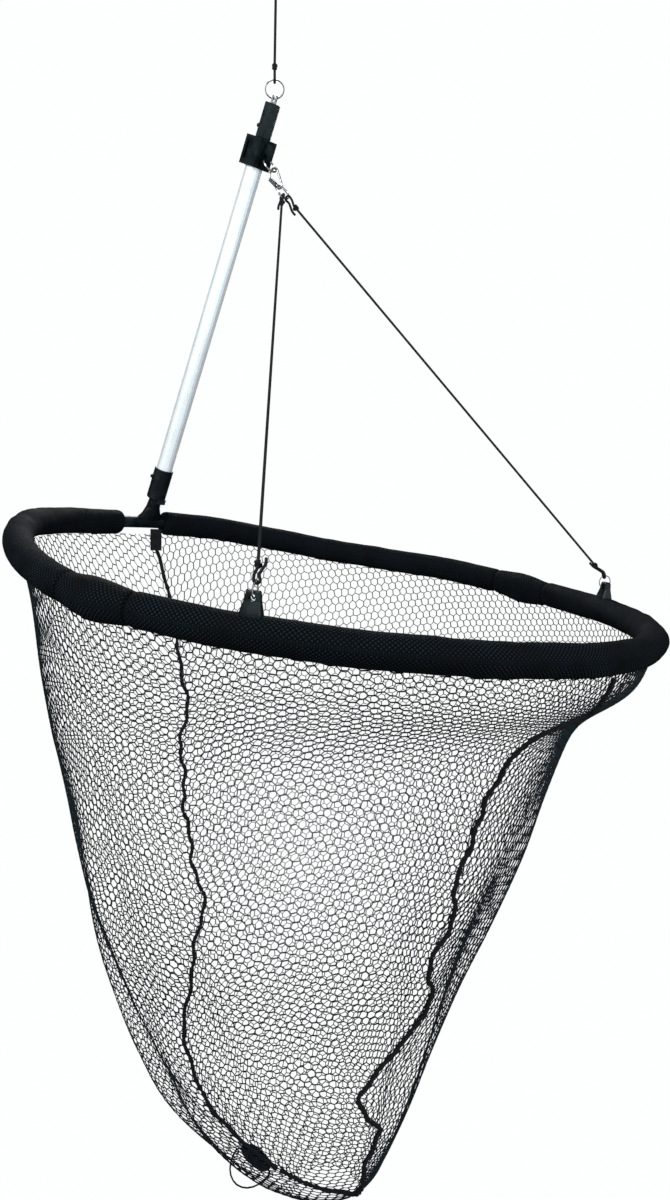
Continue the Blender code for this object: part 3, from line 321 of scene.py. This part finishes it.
def knitted_twine():
    made = Finish("knitted_twine", (0.004, 0.007, 0.009), 0.75, gloss=0.10)
    strand = made.noise(made.where(), 900.0)
    made.paint(strand, (0.0010, 0.0025, 0.0035), (0.0060, 0.0130, 0.0160), 0.3, 0.7)
    made.rough(made.spread(strand, 0.3, 0.7, 0.60, 0.85))
    made.bump(strand, 0.3, 0.0002)
    return made.material


PLASTIC = moulded_plastic()
ALUMINIUM = satin_aluminium()
STEEL = bright_steel()
SLEEVE = woven_sleeve()
WEBBING = webbing()
CORD = braided_cord()
TWINE = knitted_twine()


# The forms of the hoop and the bag
def turn_y(angle):
    c, s = cos(angle), sin(angle)
    return np.array(((c, 0, s), (0, 1, 0), (-s, 0, c)))


FRONT_TURN = turn_y(-HOOP_TILT)
REAR_TURN = turn_y(-HOOP_TILT - REAR_RISE)


def rim_points(angle):
    """Points on the hoop tube's middle line, for an array of angles."""
    angle = np.arctan2(np.sin(angle), np.cos(angle))
    rear = np.abs(angle) < FOLD_ANGLE
    twist = np.where(rear, REAR_TWIST * np.sin(np.clip(pi * angle / FOLD_ANGLE, -pi, pi)) ** 3, 0.0)
    flat = np.stack((HOOP_RADIUS * np.cos(angle) - FOLD_X, HOOP_RADIUS * np.sin(angle), twist - PIN_RISE), -1)
    return FOLD_POINT + np.where(rear[..., None], flat @ REAR_TURN.T, flat @ FRONT_TURN.T)


def eased(depth, column):
    """A smooth curve through one column of the bag's profile."""
    rows = BAG_PROFILE[:, DEPTH]
    values = BAG_PROFILE[:, column]
    slopes = np.gradient(values, rows)
    k = np.clip(np.searchsorted(rows, depth, side="right") - 1, 0, len(rows) - 2)
    h = rows[k + 1] - rows[k]
    t = np.clip((depth - rows[k]) / h, 0, 1)
    return ((2 * t ** 3 - 3 * t ** 2 + 1) * values[k] + (t ** 3 - 2 * t ** 2 + t) * h * slopes[k]
            + (-2 * t ** 3 + 3 * t ** 2) * values[k + 1] + (t ** 3 - t ** 2) * h * slopes[k + 1])


# the netting's slack folds: how many go round, where they start, how they slide with depth, and their weight
FOLDS = [
    (rng.integers(5, 15), rng.uniform(0, tau), rng.uniform(4, 11), rng.uniform(0.5, 1.0))
    for _ in range(7)
]


def bag_surface(depth, angle, folds=True):
    """Points of the bag's outside for arrays of depth and angle. Its rings lie with the hoop at the top, and
    level lower down."""
    radius = np.maximum(eased(depth, RADIUS), BAG_LEAST_R)
    if folds:
        slack = np.zeros_like(depth)
        for count, phase, slide, weight in FOLDS:
            slack += weight * np.sin(count * angle + phase + slide * depth)
        amount = SLACK * np.clip(depth / SLACK_FULL_AT, 0, 1) ** 1.5
        amount *= np.clip((SLACK_ENDS_AT - depth) / 0.12, 0, 1)
        radius = radius + amount * (slack / 1.8 - 0.3) - SLACK_INSET
    settle = np.clip(depth / SETTLED_AT, 0, 1)
    settle = (settle * settle * (3 - 2 * settle))[..., None]
    out = np.stack((radius * np.cos(angle), radius * np.sin(angle), -depth), -1)
    level = HOOP_CENTRE + BAG_SWING * eased(depth, SWING)[..., None] + out
    under = rim_points(angle) - HOOP_CENTRE - (0, 0, BAG_TOP_DROP)
    tilted = HOOP_CENTRE + under * (radius / HOOP_RADIUS)[..., None]
    tilted[..., 2] = HOOP_CENTRE[2] + under[..., 2] - depth * (1.0 + under[..., 2] / BAG_DEPTH)
    return tilted * (1 - settle) + level * settle


# Tubes and pieces
def place_piece(name, data):
    made = bpy.data.objects.new(name, data)
    bpy.context.scene.collection.objects.link(made)
    return made


def directions(path):
    """Unit tangents along a path."""
    run = np.gradient(path, axis=0)
    return run / np.linalg.norm(run, axis=1)[:, None]


def distances(path):
    """How far along a path each of its points is."""
    return np.concatenate(((0,), np.cumsum(np.linalg.norm(np.diff(path, axis=0), axis=1))))


def level_rings(path, radius):
    """Rings round a path that never runs straight up, each starting at its level side."""
    run = directions(path)
    side = np.cross(run, (0.0, 0.0, 1.0))
    side /= np.linalg.norm(side, axis=1)[:, None]
    top = np.cross(side, run)
    turn = (np.arange(radius.shape[1]) * tau / radius.shape[1])[None, :, None]
    return path[:, None] + (side[:, None] * np.cos(turn) + top[:, None] * np.sin(turn)) * radius[..., None]


def carried_rings(path, radius, across):
    """Rings round a path that runs any way, whose first direction is carried along it without a twist."""
    turn = np.arange(radius.shape[1]) * tau / radius.shape[1]
    run = directions(path)
    side = np.cross(run[0], across)
    rings = []
    for place, ahead, reach in zip(path, run, radius):
        side = side - ahead * side.dot(ahead)
        side /= np.linalg.norm(side)
        other = np.cross(ahead, side)
        rings.append(place + reach[:, None] * (np.outer(np.cos(turn), side) + np.outer(np.sin(turn), other)))
    return np.array(rings)


def tube_piece(name, path, rings, girth, finish):
    """A closed tube through rings round a path, with UV that runs along it and round it by its girth."""
    count, sides = rings.shape[:2]
    faces = []
    for i in range(count - 1):
        for k in range(sides):
            j = (k + 1) % sides
            faces.append((i * sides + k, i * sides + j, (i + 1) * sides + j, (i + 1) * sides + k))
    faces.append(tuple(range(sides))[::-1])
    faces.append(tuple((count - 1) * sides + k for k in range(sides)))
    mesh = bpy.data.meshes.new(name)
    mesh.from_pydata(rings.reshape(-1, 3).tolist(), [], faces)
    around = np.arange(sides) / sides * girth
    uv = np.stack(np.broadcast_arrays(distances(path)[:, None], around[None]), -1).reshape(-1, 2)
    corners = np.zeros(len(mesh.loops), np.int32)
    mesh.loops.foreach_get("vertex_index", corners)
    mesh.uv_layers.new(name="UVMap").data.foreach_set("uv", uv[corners].ravel())
    mesh.materials.append(finish)
    mesh.shade_smooth()
    mesh.update()
    return place_piece(name, mesh)


def curve_piece(name, points, radius, resolution, closed):
    """A round cord or strand through the points."""
    data = bpy.data.curves.new(name, "CURVE")
    data.dimensions = "3D"
    data.bevel_depth = radius
    data.bevel_resolution = resolution
    data.use_fill_caps = not closed
    spline = data.splines.new("POLY")
    spline.points.add(len(points) - 1)
    for point, place in zip(spline.points, points):
        point.co = (*place, 1)
    spline.use_cyclic_u = closed
    data.materials.append(CORD)
    return place_piece(name, data)


def across_fold(piece):
    """Bake a piece of the bag's world placing into its mesh."""
    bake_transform(piece)


# The netting
def panel_shape(side):
    """One panel laid flat. For each depth: how far down the net it lies, and the half width there, the middle
    angle and the half angle."""
    depth = np.linspace(0.0, BAG_DEPTH - 0.004, 900)
    radius = np.maximum(eased(depth, RADIUS), BAG_LEAST_R)
    first = np.radians(eased(depth, REAR_SEAM))
    last = np.radians(eased(depth, FRONT_SEAM))
    if side < 0:
        first, last = last - tau, first
    slope = np.gradient(radius, depth)
    down = np.concatenate(((0,), np.cumsum(np.sqrt(1 + slope[1:] ** 2) * np.diff(depth))))
    gather = 1.0 + GATHER * np.clip((depth - 0.25) / 0.5, 0, 1)
    return depth, down, radius * (last - first) / 2 * gather, (first + last) / 2, (last - first) / 2


def honeycomb(reach):
    """A flat honeycomb: its corners, the two corners of each twine, and which twines are upright. Every cell
    has one upright twine and two slanting ones."""
    edge = CELL / 3 ** 0.5
    steps = np.arange(-2 * reach, 2 * reach)
    i, j = np.meshgrid(steps, steps, indexing="ij")
    x = (i + j / 2) * CELL
    y = j * 1.5 * edge
    near = (np.abs(x) < 1.5 * reach * CELL) & (np.abs(y) < 1.5 * reach * CELL)
    low = 2 * np.arange(i.size).reshape(i.shape)
    high = low + 1
    upright = np.stack((low[near], high[near]), -1)
    right = np.stack((low[:, :-1][near[:, :-1]], high[:, 1:][near[:, :-1]]), -1)
    left = np.stack((low[1:, :-1][near[1:, :-1]], high[:-1, 1:][near[1:, :-1]]), -1)
    twines = np.vstack((upright, right, left))
    corners = np.stack((np.stack((x, y + edge / 2), -1), np.stack((x, y - edge / 2), -1)), 2).reshape(-1, 2)
    return corners, twines, np.arange(len(twines)) < len(upright)


def twine_mesh(name, starts, ends, thick):
    """Each twine as a four-sided prism that runs a little past its corners."""
    run = (ends - starts) / np.linalg.norm(ends - starts, axis=1)[:, None]
    one = np.cross(run, (starts + ends) / 2 - BAG_MIDDLE)
    one /= np.linalg.norm(one, axis=1)[:, None]
    two = np.cross(one, run)
    points = []
    for end, past in ((starts, -TWINE_OVERLAP), (ends, TWINE_OVERLAP)):
        for turn in (45, 135, 225, 315):
            t = radians(turn)
            points.append(end + run * past + (one * cos(t) + two * sin(t)) * thick)
    points = np.stack(points, 1)
    quads = np.array(((0, 1, 5, 4), (1, 2, 6, 5), (2, 3, 7, 6), (3, 0, 4, 7)), np.int32)
    faces = np.arange(len(points), dtype=np.int32)[:, None, None] * 8 + quads
    mesh = bpy.data.meshes.new(name)
    mesh.vertices.add(points.size // 3)
    mesh.vertices.foreach_set("co", points.ravel())
    mesh.loops.add(faces.size)
    mesh.loops.foreach_set("vertex_index", faces.ravel())
    mesh.polygons.add(faces.size // 4)
    mesh.polygons.foreach_set("loop_start", np.arange(0, faces.size, 4, dtype=np.int32))
    mesh.update(calc_edges=True)
    mesh.materials.append(TWINE)
    mesh.validate()
    return mesh


def net_panel(name, side):
    """One half of the bag as knitted twine. The honeycomb is laid out flat, at its true size, cut at the two
    seams, and carried onto the bag. Its upright twines are the thicker, knitted ones."""
    depth, down, half_width, middle, half_angle = panel_shape(side)
    foot = down[-1]
    corners, twines, upright = honeycomb(int(1.25 * max(foot, half_width.max()) / CELL) + 4)
    c, s = cos(LATTICE_TURN[side]), sin(LATTICE_TURN[side])
    x = corners[:, 0] * c - corners[:, 1] * s + rng.normal(0, CORNER_PLAY, len(corners))
    y = corners[:, 0] * s + corners[:, 1] * c + foot / 2 + rng.normal(0, CORNER_PLAY, len(corners))
    width = np.interp(y, down, half_width)
    corner_depth = np.interp(y, down, depth)
    inside = (np.abs(x) < width) & (y > -0.001) & (y < foot)
    kept = inside[twines].any(1) & (y[twines].max(1) < foot) & (corner_depth[twines].max(1) < NET_FOOT)
    twines, upright = twines[kept], upright[kept]
    share = np.clip(x / np.maximum(width, 1e-6), -1, 1)
    angle = np.interp(y, down, middle) + share * np.interp(y, down, half_angle)
    at = bag_surface(corner_depth, angle)
    starts, ends = at[twines[:, 0]], at[twines[:, 1]]
    length = np.linalg.norm(ends - starts, axis=1)
    kept = (length > SHORTEST_TWINE) & (length < LONGEST_TWINE)
    thick = np.where(upright[kept], KNITTED_TWINE_R, SLANTING_TWINE_R)[:, None]
    return place_piece(name, twine_mesh(name, starts[kept], ends[kept], thick))


# The seams
def seam_path(depth, column, kink):
    """The seam down one side of the bag, which wanders and kinks where the panels are gathered."""
    angle = np.radians(eased(depth, column))
    out = np.stack((np.cos(angle), np.sin(angle), np.zeros_like(angle)), -1)
    side = np.cross(out, (0, 0, 1.0))
    seed = rng.uniform(0, tau, 4)
    sway = 0.0021 * np.sin(depth * 170 + seed[0]) + 0.0034 * np.sin(depth * 67 + seed[1])
    sway += kink * np.arcsin(np.sin(depth * 46 + seed[2])) * (1 + 0.5 * np.sin(depth * 19 + seed[3]))
    sway *= np.clip(depth / 0.1, 0, 1) * np.clip((0.78 - depth) / 0.08, 0, 1)
    return bag_surface(depth, angle, folds=False) + side * sway[:, None]


def seam_roll(name, node, path):
    """The seam that gathers the two panels, as a puckered roll along a path on the bag."""
    turn = np.arange(SEAM_SIDES) * tau / SEAM_SIDES
    length = distances(path)[:, None]
    radius = SEAM_ROLL_R * (1 + 0.22 * np.sin(length * 850) + 0.18 * np.sin(length * 500 + 2 * turn))
    rings = carried_rings(path, radius, (0.0, 0.0, 1.0))
    made = tube_piece(name, path, rings, tau * SEAM_ROLL_R, CORD)
    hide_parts(node)
    return made


# The sleeves
def sleeve_piece(name, first, last, node, swell=0.0, ends=0.0035):
    """A padded cover pulled along the tube, with shallow rings where it bunches, long soft dents, and
    drawn-in ends."""
    length = abs(last - first) * HOOP_RADIUS
    share = np.linspace(0, 1, max(24, int(length / SLEEVE_STEP)))
    path = rim_points(first + (last - first) * share)
    s, t = np.meshgrid(share * length, np.arange(SLEEVE_SIDES) * tau / SLEEVE_SIDES, indexing="ij")
    seed = rng.uniform(0, tau, 8)
    bunch = np.sin(s * 190 + 1.5 * np.sin(s * 23 + seed[0]) + 0.8 * np.sin(t + seed[1])) * 0.5
    bunch += np.sin(s * 87 + 2.0 * np.sin(t * 2 + seed[2])) * 0.6
    dents = np.sin(s * 31 + 2 * t + seed[3]) * np.sin(s * 17 - t + seed[4])
    bundle = np.clip(np.sin(s * 12.5 + seed[5]), 0, 1) ** 3
    radius = SLEEVE_R - SLEEVE_INSET + BUNCH_HEIGHT * bunch * (0.4 + bundle) + DENT_HEIGHT * dents
    radius += swell * np.sin(pi * share)[:, None] ** 2
    from_end = np.minimum(share, 1 - share) * length
    radius -= ends * np.clip(1 - from_end / DRAWN_IN, 0, 1)[:, None] ** 2
    # the sewn seam runs under the tube, where the net is caught
    under = np.exp(-(np.angle(np.exp(1j * (t + pi / 2))) / 0.16) ** 2)
    radius += SLEEVE_SEAM_HEIGHT * under
    made = tube_piece(name, path, level_rings(path, radius), tau * SLEEVE_R, SLEEVE)
    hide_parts(node)
    return made


# Copies of the part's own soft pieces
def vertex_values(mesh, key):
    values = np.zeros(len(mesh.vertices) * 3)
    mesh.vertices.foreach_get(key, values)
    return values.reshape(-1, 3)


def soft_copy(name, node, finish, body, levels, noise, bevel):
    """The part's own piece with rounded edges, subdivided and slightly uneven, so that it reads as cloth."""
    made = place_piece(name, frame["nodes"][node].data.copy())
    made.data.materials.clear()
    made.data.materials.append(finish)
    made.data.shade_smooth()
    if bevel:
        round_over = made.modifiers.new("round", "BEVEL")
        round_over.width = bevel
        round_over.segments = 2
        round_over.limit_method = "ANGLE"
    if levels:
        fine = made.modifiers.new("fine", "SUBSURF")
        fine.subdivision_type = "SIMPLE"
        fine.levels = levels
        fine.render_levels = levels
    mesh = bpy.data.meshes.new_from_object(made.evaluated_get(bpy.context.evaluated_depsgraph_get()))
    made.modifiers.clear()
    made.data = mesh
    points = vertex_values(mesh, "co")
    seed = rng.uniform(0, tau, 6)
    lump = (np.sin(points[:, 0] * 410 + seed[0]) * np.sin(points[:, 1] * 370 + seed[1])
            + np.sin(points[:, 2] * 450 + seed[2] + 3 * np.sin(points[:, 0] * 90)))
    points += vertex_values(mesh, "normal") * (lump * noise - noise)[:, None]
    mesh.vertices.foreach_set("co", points.ravel())
    mesh.update()
    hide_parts(node)
    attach(made, body)
    return made


# Cord routes: points chosen as in the part, with a smooth curve through them
FRONT_FRAME = Matrix.Translation(FOLD_POINT) @ Matrix.Rotation(-HOOP_TILT, 4, "Y")
REAR_FRAME = Matrix.Translation(FOLD_POINT) @ Matrix.Rotation(-HOOP_TILT - REAR_RISE, 4, "Y")
TEE_POINT = REAR_FRAME @ Vector((HOOP_RADIUS - FOLD_X, 0.0, -PIN_RISE))
ARM = Matrix.Translation(TEE_POINT) @ Matrix.Rotation(-ARM_LEAN, 4, "Y")
EYE_POINT = ARM @ Vector((-EYE_REACH, 0.0, EYE_AT))
BUTTON_SIDE = ARM.to_3x3() @ Matrix.Rotation(BUTTON_AZIMUTH, 3, "Z") @ Vector((1, 0, 0))
UP = Vector((0, 0, 1))


def smooth_route(points, steps):
    """A Catmull-Rom curve through the points, with the given number of steps in each span."""
    knots = [points[0] * 2 - points[1], *points, points[-1] * 2 - points[-2]]
    route = []
    for i, count in enumerate(steps):
        a, b, c, d = knots[i : i + 4]
        for k in range(count):
            t = k / count
            route.append(0.5 * (b * 2 + (c - a) * t + (a * 2 - b * 5 + c * 4 - d) * t * t
                                + (b * 3 - a - c * 3 + d) * t * t * t))
    route.append(points[-1])
    return [tuple(p) for p in route]


def loop_round(wire_point, wire_r, half_pitch, away, beside, strand_r):
    """A strand's turn round a wire, or round a split ring's two turns: a leg, the bend, and the other leg."""
    reach = wire_r + strand_r + 2 * TOUCH_GAP
    leg = beside * (reach + half_pitch) * 0.80
    foot = wire_point + away * 0.0058
    bend = []
    for turn in (0, 40, 80, 100, 140, 180):
        sideways = reach * cos(radians(turn)) + (half_pitch if turn < 90 else -half_pitch)
        bend.append(wire_point + beside * sideways - away * (reach * sin(radians(turn))))
    return [foot + leg, *bend, foot - leg]


def clip_frame(side):
    """In the middle of a lug's wire clip: X towards the cord, Z square to the clip."""
    angle = side * LUG_ANGLE
    foot = Matrix.Translation((HOOP_RADIUS * cos(angle) - FOLD_X, HOOP_RADIUS * sin(angle), -PIN_RISE))
    eye = FRONT_FRAME @ foot @ Matrix.Rotation(angle, 4, "Z") @ Matrix.Translation((0, 0, LUG_EYE_HEIGHT))
    stand = Matrix.Rotation(radians(-90), 4, "Y") @ Matrix.Rotation(radians(-90), 4, "X")
    return eye @ Matrix.Rotation(-CLIP_LEAN, 4, "Y") @ Matrix.Translation((0, 0, CLIP_R - 0.0010)) @ stand


def bridle_route(side):
    """From its knot on the bridle ring down to its knot and loop on the lug clip."""
    tops = [clip_frame(turn) @ Vector((CLIP_R, 0, 0)) for turn in (1, -1)]
    pull = ((tops[0] + tops[1]) / 2 - EYE_POINT).normalized()
    middle = EYE_POINT + pull * BRIDLE_RING_AT
    low_wire = tops[0] if side > 0 else tops[1]
    down = (low_wire - middle).normalized()
    ring_normal = pull.cross(Vector((0, 1, 0)))
    ring_wire = middle + down * BRIDLE_RING_R
    top_knot = ring_wire + down * TOP_LOOP_LENGTH
    low_knot = low_wire - down * LOW_LOOP_LENGTH
    clip_wire = clip_frame(side).to_3x3() @ Vector((0, 1, 0))
    away = (clip_wire * down.dot(clip_wire) - down).normalized()
    beside = clip_wire.cross(away)
    route = [
        top_knot + ring_normal * 0.0072 + down * 0.0060,
        top_knot + ring_normal * 0.0072 - down * 0.0010,
        *loop_round(ring_wire, SPLIT_WIRE_R, SPLIT_PITCH / 2, down, ring_normal, CORD_R),
        top_knot - down * (KNOT_HALF + 0.0008),
        top_knot,
        low_knot,
        low_knot + down * (KNOT_HALF + 0.0008),
        *loop_round(low_wire, CLIP_WIRE_R + 0.0001, 0.0, away, beside, CORD_R),
        low_knot - beside * 0.0072 + down * 0.0020,
        low_knot - beside * 0.0076 - down * 0.0060,
    ]
    return smooth_route(route, (2, 2, *LOOP_STEPS, 2, 1, 16, 1, 2, *LOOP_STEPS, 2, 2)), top_knot, low_knot


def haul_route():
    """From its knot on the split ring straight up to the hand loop, whose top is the origin."""
    beside = Vector((BUTTON_SIDE.x, BUTTON_SIDE.y, 0)).normalized().cross(UP)
    wire_point = ARM @ Vector((0, 0, FORK_EYE_AT)) + UP * (2 * TOP_RING_R - 0.0005)
    foot_knot = wire_point + UP * 0.0175
    head_knot = Vector((0.0, 0.0, -0.0480))
    route = [
        foot_knot + beside * 0.0080 + UP * 0.0060,
        foot_knot + beside * 0.0080 - UP * 0.0010,
        *loop_round(wire_point, SPLIT_WIRE_R, SPLIT_PITCH / 2, UP, beside, LINE_R),
        foot_knot - UP * (1.1 * KNOT_HALF + 0.0008),
        foot_knot,
        head_knot,
        head_knot + UP * 0.0048,
        Vector((0.0, -0.0105, -0.0270)),
        Vector((0.0, -0.0080, -0.0090)),
        Vector((0.0, 0.0, -LINE_R)),
        Vector((0.0, 0.0080, -0.0090)),
        Vector((0.0, 0.0120, -0.0270)),
        head_knot + Vector((0, 0.0088, 0.0040)),
        head_knot + Vector((0, 0.0082, -0.0060)),
    ]
    return smooth_route(route, (2, 2, *LOOP_STEPS, 2, 1, 8, 1, 2, 2, 3, 3, 2, 2, 2))


def tied_knot(name, node, body, strand):
    """An overhand knot pulled tight: three crossing turns the size of the part's knot."""
    points = np.array([vertex.co for vertex in frame["nodes"][node].data.vertices])
    middle = (points.max(0) + points.min(0)) / 2
    # the long way of the knot, or its short way where the other two are alike
    values, vectors = np.linalg.eigh(np.cov((points - middle).T))
    axis = vectors[:, 0] if values[1] > 0.8 * values[2] else vectors[:, 2]
    other = vectors[:, 1]
    third = np.cross(axis, other)
    t = np.linspace(0, tau, 73)[:-1, None]
    reach = KNOT_REACH * (0.62 + 0.36 * np.cos(3 * t))
    turns = other * (reach * np.cos(2 * t)) + third * (reach * np.sin(2 * t))
    turns += middle + axis * (KNOT_REACH * 0.62 * np.sin(3 * t))
    made = curve_piece(name, turns, strand, 3, True)
    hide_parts(node)
    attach(made, body)
    return made


# Camera
scene = bpy.context.scene
camera_data = bpy.data.cameras.new("camera")
camera_data.sensor_fit = "VERTICAL"
camera_data.sensor_width = SENSOR
camera_data.sensor_height = SENSOR
camera_data.lens = LENS
camera = bpy.data.objects.new("camera", camera_data)
camera.location = Vector(CAMERA_PLACE) + Vector(HOOP_CENTRE)
camera.rotation_mode = "QUATERNION"
camera.rotation_quaternion = Vector(CAMERA_AIM).to_track_quat("-Z", "Y")
scene.collection.objects.link(camera)
scene.camera = camera
scene.view_settings.view_transform = "Standard"

# The cords and their knots
for side, hand in ((1, "left"), (-1, "right")):
    route, top_at, low_at = bridle_route(side)
    path = np.array(route)
    rings = carried_rings(path, np.full((len(path), ROPE_SIDES), CORD_R), (0.3, 0.2, 1.0))
    cord = tube_piece(f"bridle_rope_{hand}", path, rings, 1.0, CORD)
    top = tied_knot(f"bridle_top_tie_{hand}", f"bridle_top_knot_{hand}", ROOT, CORD_KNOT_STRAND_R)
    foot = tied_knot(f"bridle_low_tie_{hand}", f"bridle_low_knot_{hand}", FRONT, CORD_KNOT_STRAND_R)
    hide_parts(f"bridle_cord_{hand}")
    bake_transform(cord)

haul_points = haul_route()
haul = curve_piece("haul_rope", haul_points, LINE_R, 4, False)
foot_tie = tied_knot("haul_foot_tie", "haul_foot_knot", ROOT, LINE_KNOT_STRAND_R)
loop_tie = tied_knot("haul_loop_tie", "haul_loop_knot", ROOT, LINE_KNOT_STRAND_R)
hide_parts("haul_line")
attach(haul, ROOT)

# The bag, and its seams, of which the front one runs on under the bag to the rear one
for side, hand in ((1, "left"), (-1, "right")):
    net = net_panel(f"netting_{hand}", side)
    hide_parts(f"net_panel_{hand}")
    across_fold(net)

rear_path = seam_path(np.linspace(SEAM_HEAD, REAR_SEAM_FOOT, 250), REAR_SEAM, REAR_KINK)
front_path = seam_path(np.linspace(SEAM_HEAD, SEAM_FOOT, 260), FRONT_SEAM, FRONT_KINK)
under_depth = np.linspace(SEAM_FOOT, UNDER_SEAM_END, 30)[1:]
under_path = bag_surface(under_depth, np.radians(eased(under_depth, REAR_SEAM)), folds=False)
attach(seam_roll("seam_roll_rear", "seam_cord_rear", rear_path), ROOT)
across_fold(seam_roll("seam_roll_front", "seam_cord_front", np.vstack((front_path, under_path))))

# The sleeves and the cuffs
rear_end = FOLD_ANGLE - HINGE_GAP
front_start = FOLD_ANGLE + HINGE_GAP
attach(sleeve_piece("cover_rear_left", LEFT_SLEEVE_START, rear_end, "rear_sleeve_left"), ROOT)
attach(sleeve_piece("cover_rear_right", -RIGHT_SLEEVE_START, -rear_end, "rear_sleeve_right"), ROOT)
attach(sleeve_piece("cover_front", front_start, tau - front_start, "front_sleeve"), FRONT)
for side, hand in ((1, "left"), (-1, "right")):
    half = CUFF_HALF / HOOP_RADIUS + 0.006
    cuff = sleeve_piece(f"cuff_cover_{hand}", side * (FOLD_ANGLE - half), side * (FOLD_ANGLE + half),
                        f"hinge_cuff_{hand}", swell=0.0042, ends=0.0030)
    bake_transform(cuff)

# Small soft pieces
soft_copy("patch_cloth", "bottom_patch", WEBBING, ROOT, 2, 0.0003, 0.0006)
soft_copy("keeper_tape", "patch_keeper", WEBBING, ROOT, 2, 0.0001, 0.0003)
soft_copy("tab_tape", "seam_tab", WEBBING, ROOT, 3, 0.0002, 0.0004)
soft_copy("pull_rope", "pull_loop", CORD, "pull_loop", 1, 0.0001, 0.0)

# The buttons' springs, copied in steel, each on a mesh of its own
for name, node, joint in (
    ("lower_strip_spring", "lower_snap_spring", "lower_button_press"),
    ("upper_coil_spring", "upper_button_spring", "upper_button_press"),
):
    spring = soft_copy(name, node, STEEL, ROOT, 0, 0.0, 0.0)
    points = vertex_values(spring.data, "co")
    along = points @ -BUTTON_SIDE
    tuple(points[along.argmax()])
    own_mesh(spring)

# Finishes of the carried-over pieces
FINISHES = {"matte_black_plastic": PLASTIC, "bare_aluminium": ALUMINIUM, "bright_steel": STEEL,
            "black_sleeve_fabric": SLEEVE, "black_cord": CORD, "black_mesh": TWINE}
for row in frame["record"]["subparts"]:
    for material_slot in frame["nodes"][row["node"]].material_slots:
        material_slot.material = FINISHES[row["material_slot"]]

# Light: an even white studio, with a soft key from the upper left
scene.world = bpy.data.worlds.new("studio")
scene.world.use_nodes = True
scene.world.node_tree.nodes.clear()
studio = NodeTree(scene.world.node_tree)
ray = studio.add("ShaderNodeLightPath")
seen = studio.add("ShaderNodeBackground", Color=(0.985, 1.0, 1.0, 1))
around = studio.add("ShaderNodeBackground", Color=(0.93, 0.97, 1.0, 1), Strength=0.85)
mirrored = studio.add("ShaderNodeBackground", Color=(0.90, 0.97, 1.0, 1))
# polished metal sees the dark end of the studio behind the net, which draws its edges
behind = studio.add("ShaderNodeVectorMath", operation="DOT_PRODUCT")
studio.join(studio.add("ShaderNodeTexCoord").outputs["Generated"], behind.inputs[0])
behind.inputs[1].default_value = CAMERA_AIM
shade = studio.add("ShaderNodeMapRange", interpolation_type="SMOOTHSTEP",
                   From_Min=-0.75, From_Max=0.30, To_Min=1.0, To_Max=0.02)
studio.join(behind.outputs["Value"], shade.inputs["Value"])
studio.join(shade.outputs["Result"], mirrored.inputs["Strength"])


def either(ray_kind, first, second):
    """The second shader for rays of this kind, and the first for the others."""
    mix = studio.add("ShaderNodeMixShader")
    studio.join(ray.outputs[ray_kind], mix.inputs["Fac"])
    studio.join(first, mix.inputs[1])
    studio.join(second, mix.inputs[2])
    return mix.outputs["Shader"]


lit = either("Is Glossy Ray", around.outputs["Background"], mirrored.outputs["Background"])
shown = either("Is Camera Ray", lit, seen.outputs["Background"])
studio.join(shown, studio.add("ShaderNodeOutputWorld").inputs["Surface"])


def area_light(name, place, target, size, power, color=(1, 1, 1)):
    data = bpy.data.lights.new(name, "AREA")
    data.shape = "DISK"
    data.size = size
    data.energy = power
    data.color = color
    made = bpy.data.objects.new(name, data)
    made.location = place
    made.rotation_mode = "QUATERNION"
    made.rotation_quaternion = (Vector(target) - Vector(place)).to_track_quat("-Z", "Y")
    scene.collection.objects.link(made)


area_light("key", (-0.3, 2.0, 0.6), (-0.1, 0, -0.8), 1.0, 55, (1.0, 0.99, 0.97))
area_light("fill", (-2.0, -0.4, -0.2), (-0.1, 0, -0.9), 1.4, 22, (0.93, 0.97, 1.0))
area_light("back", (1.3, -1.2, 0.7), (-0.1, 0, -0.7), 1.0, 30)
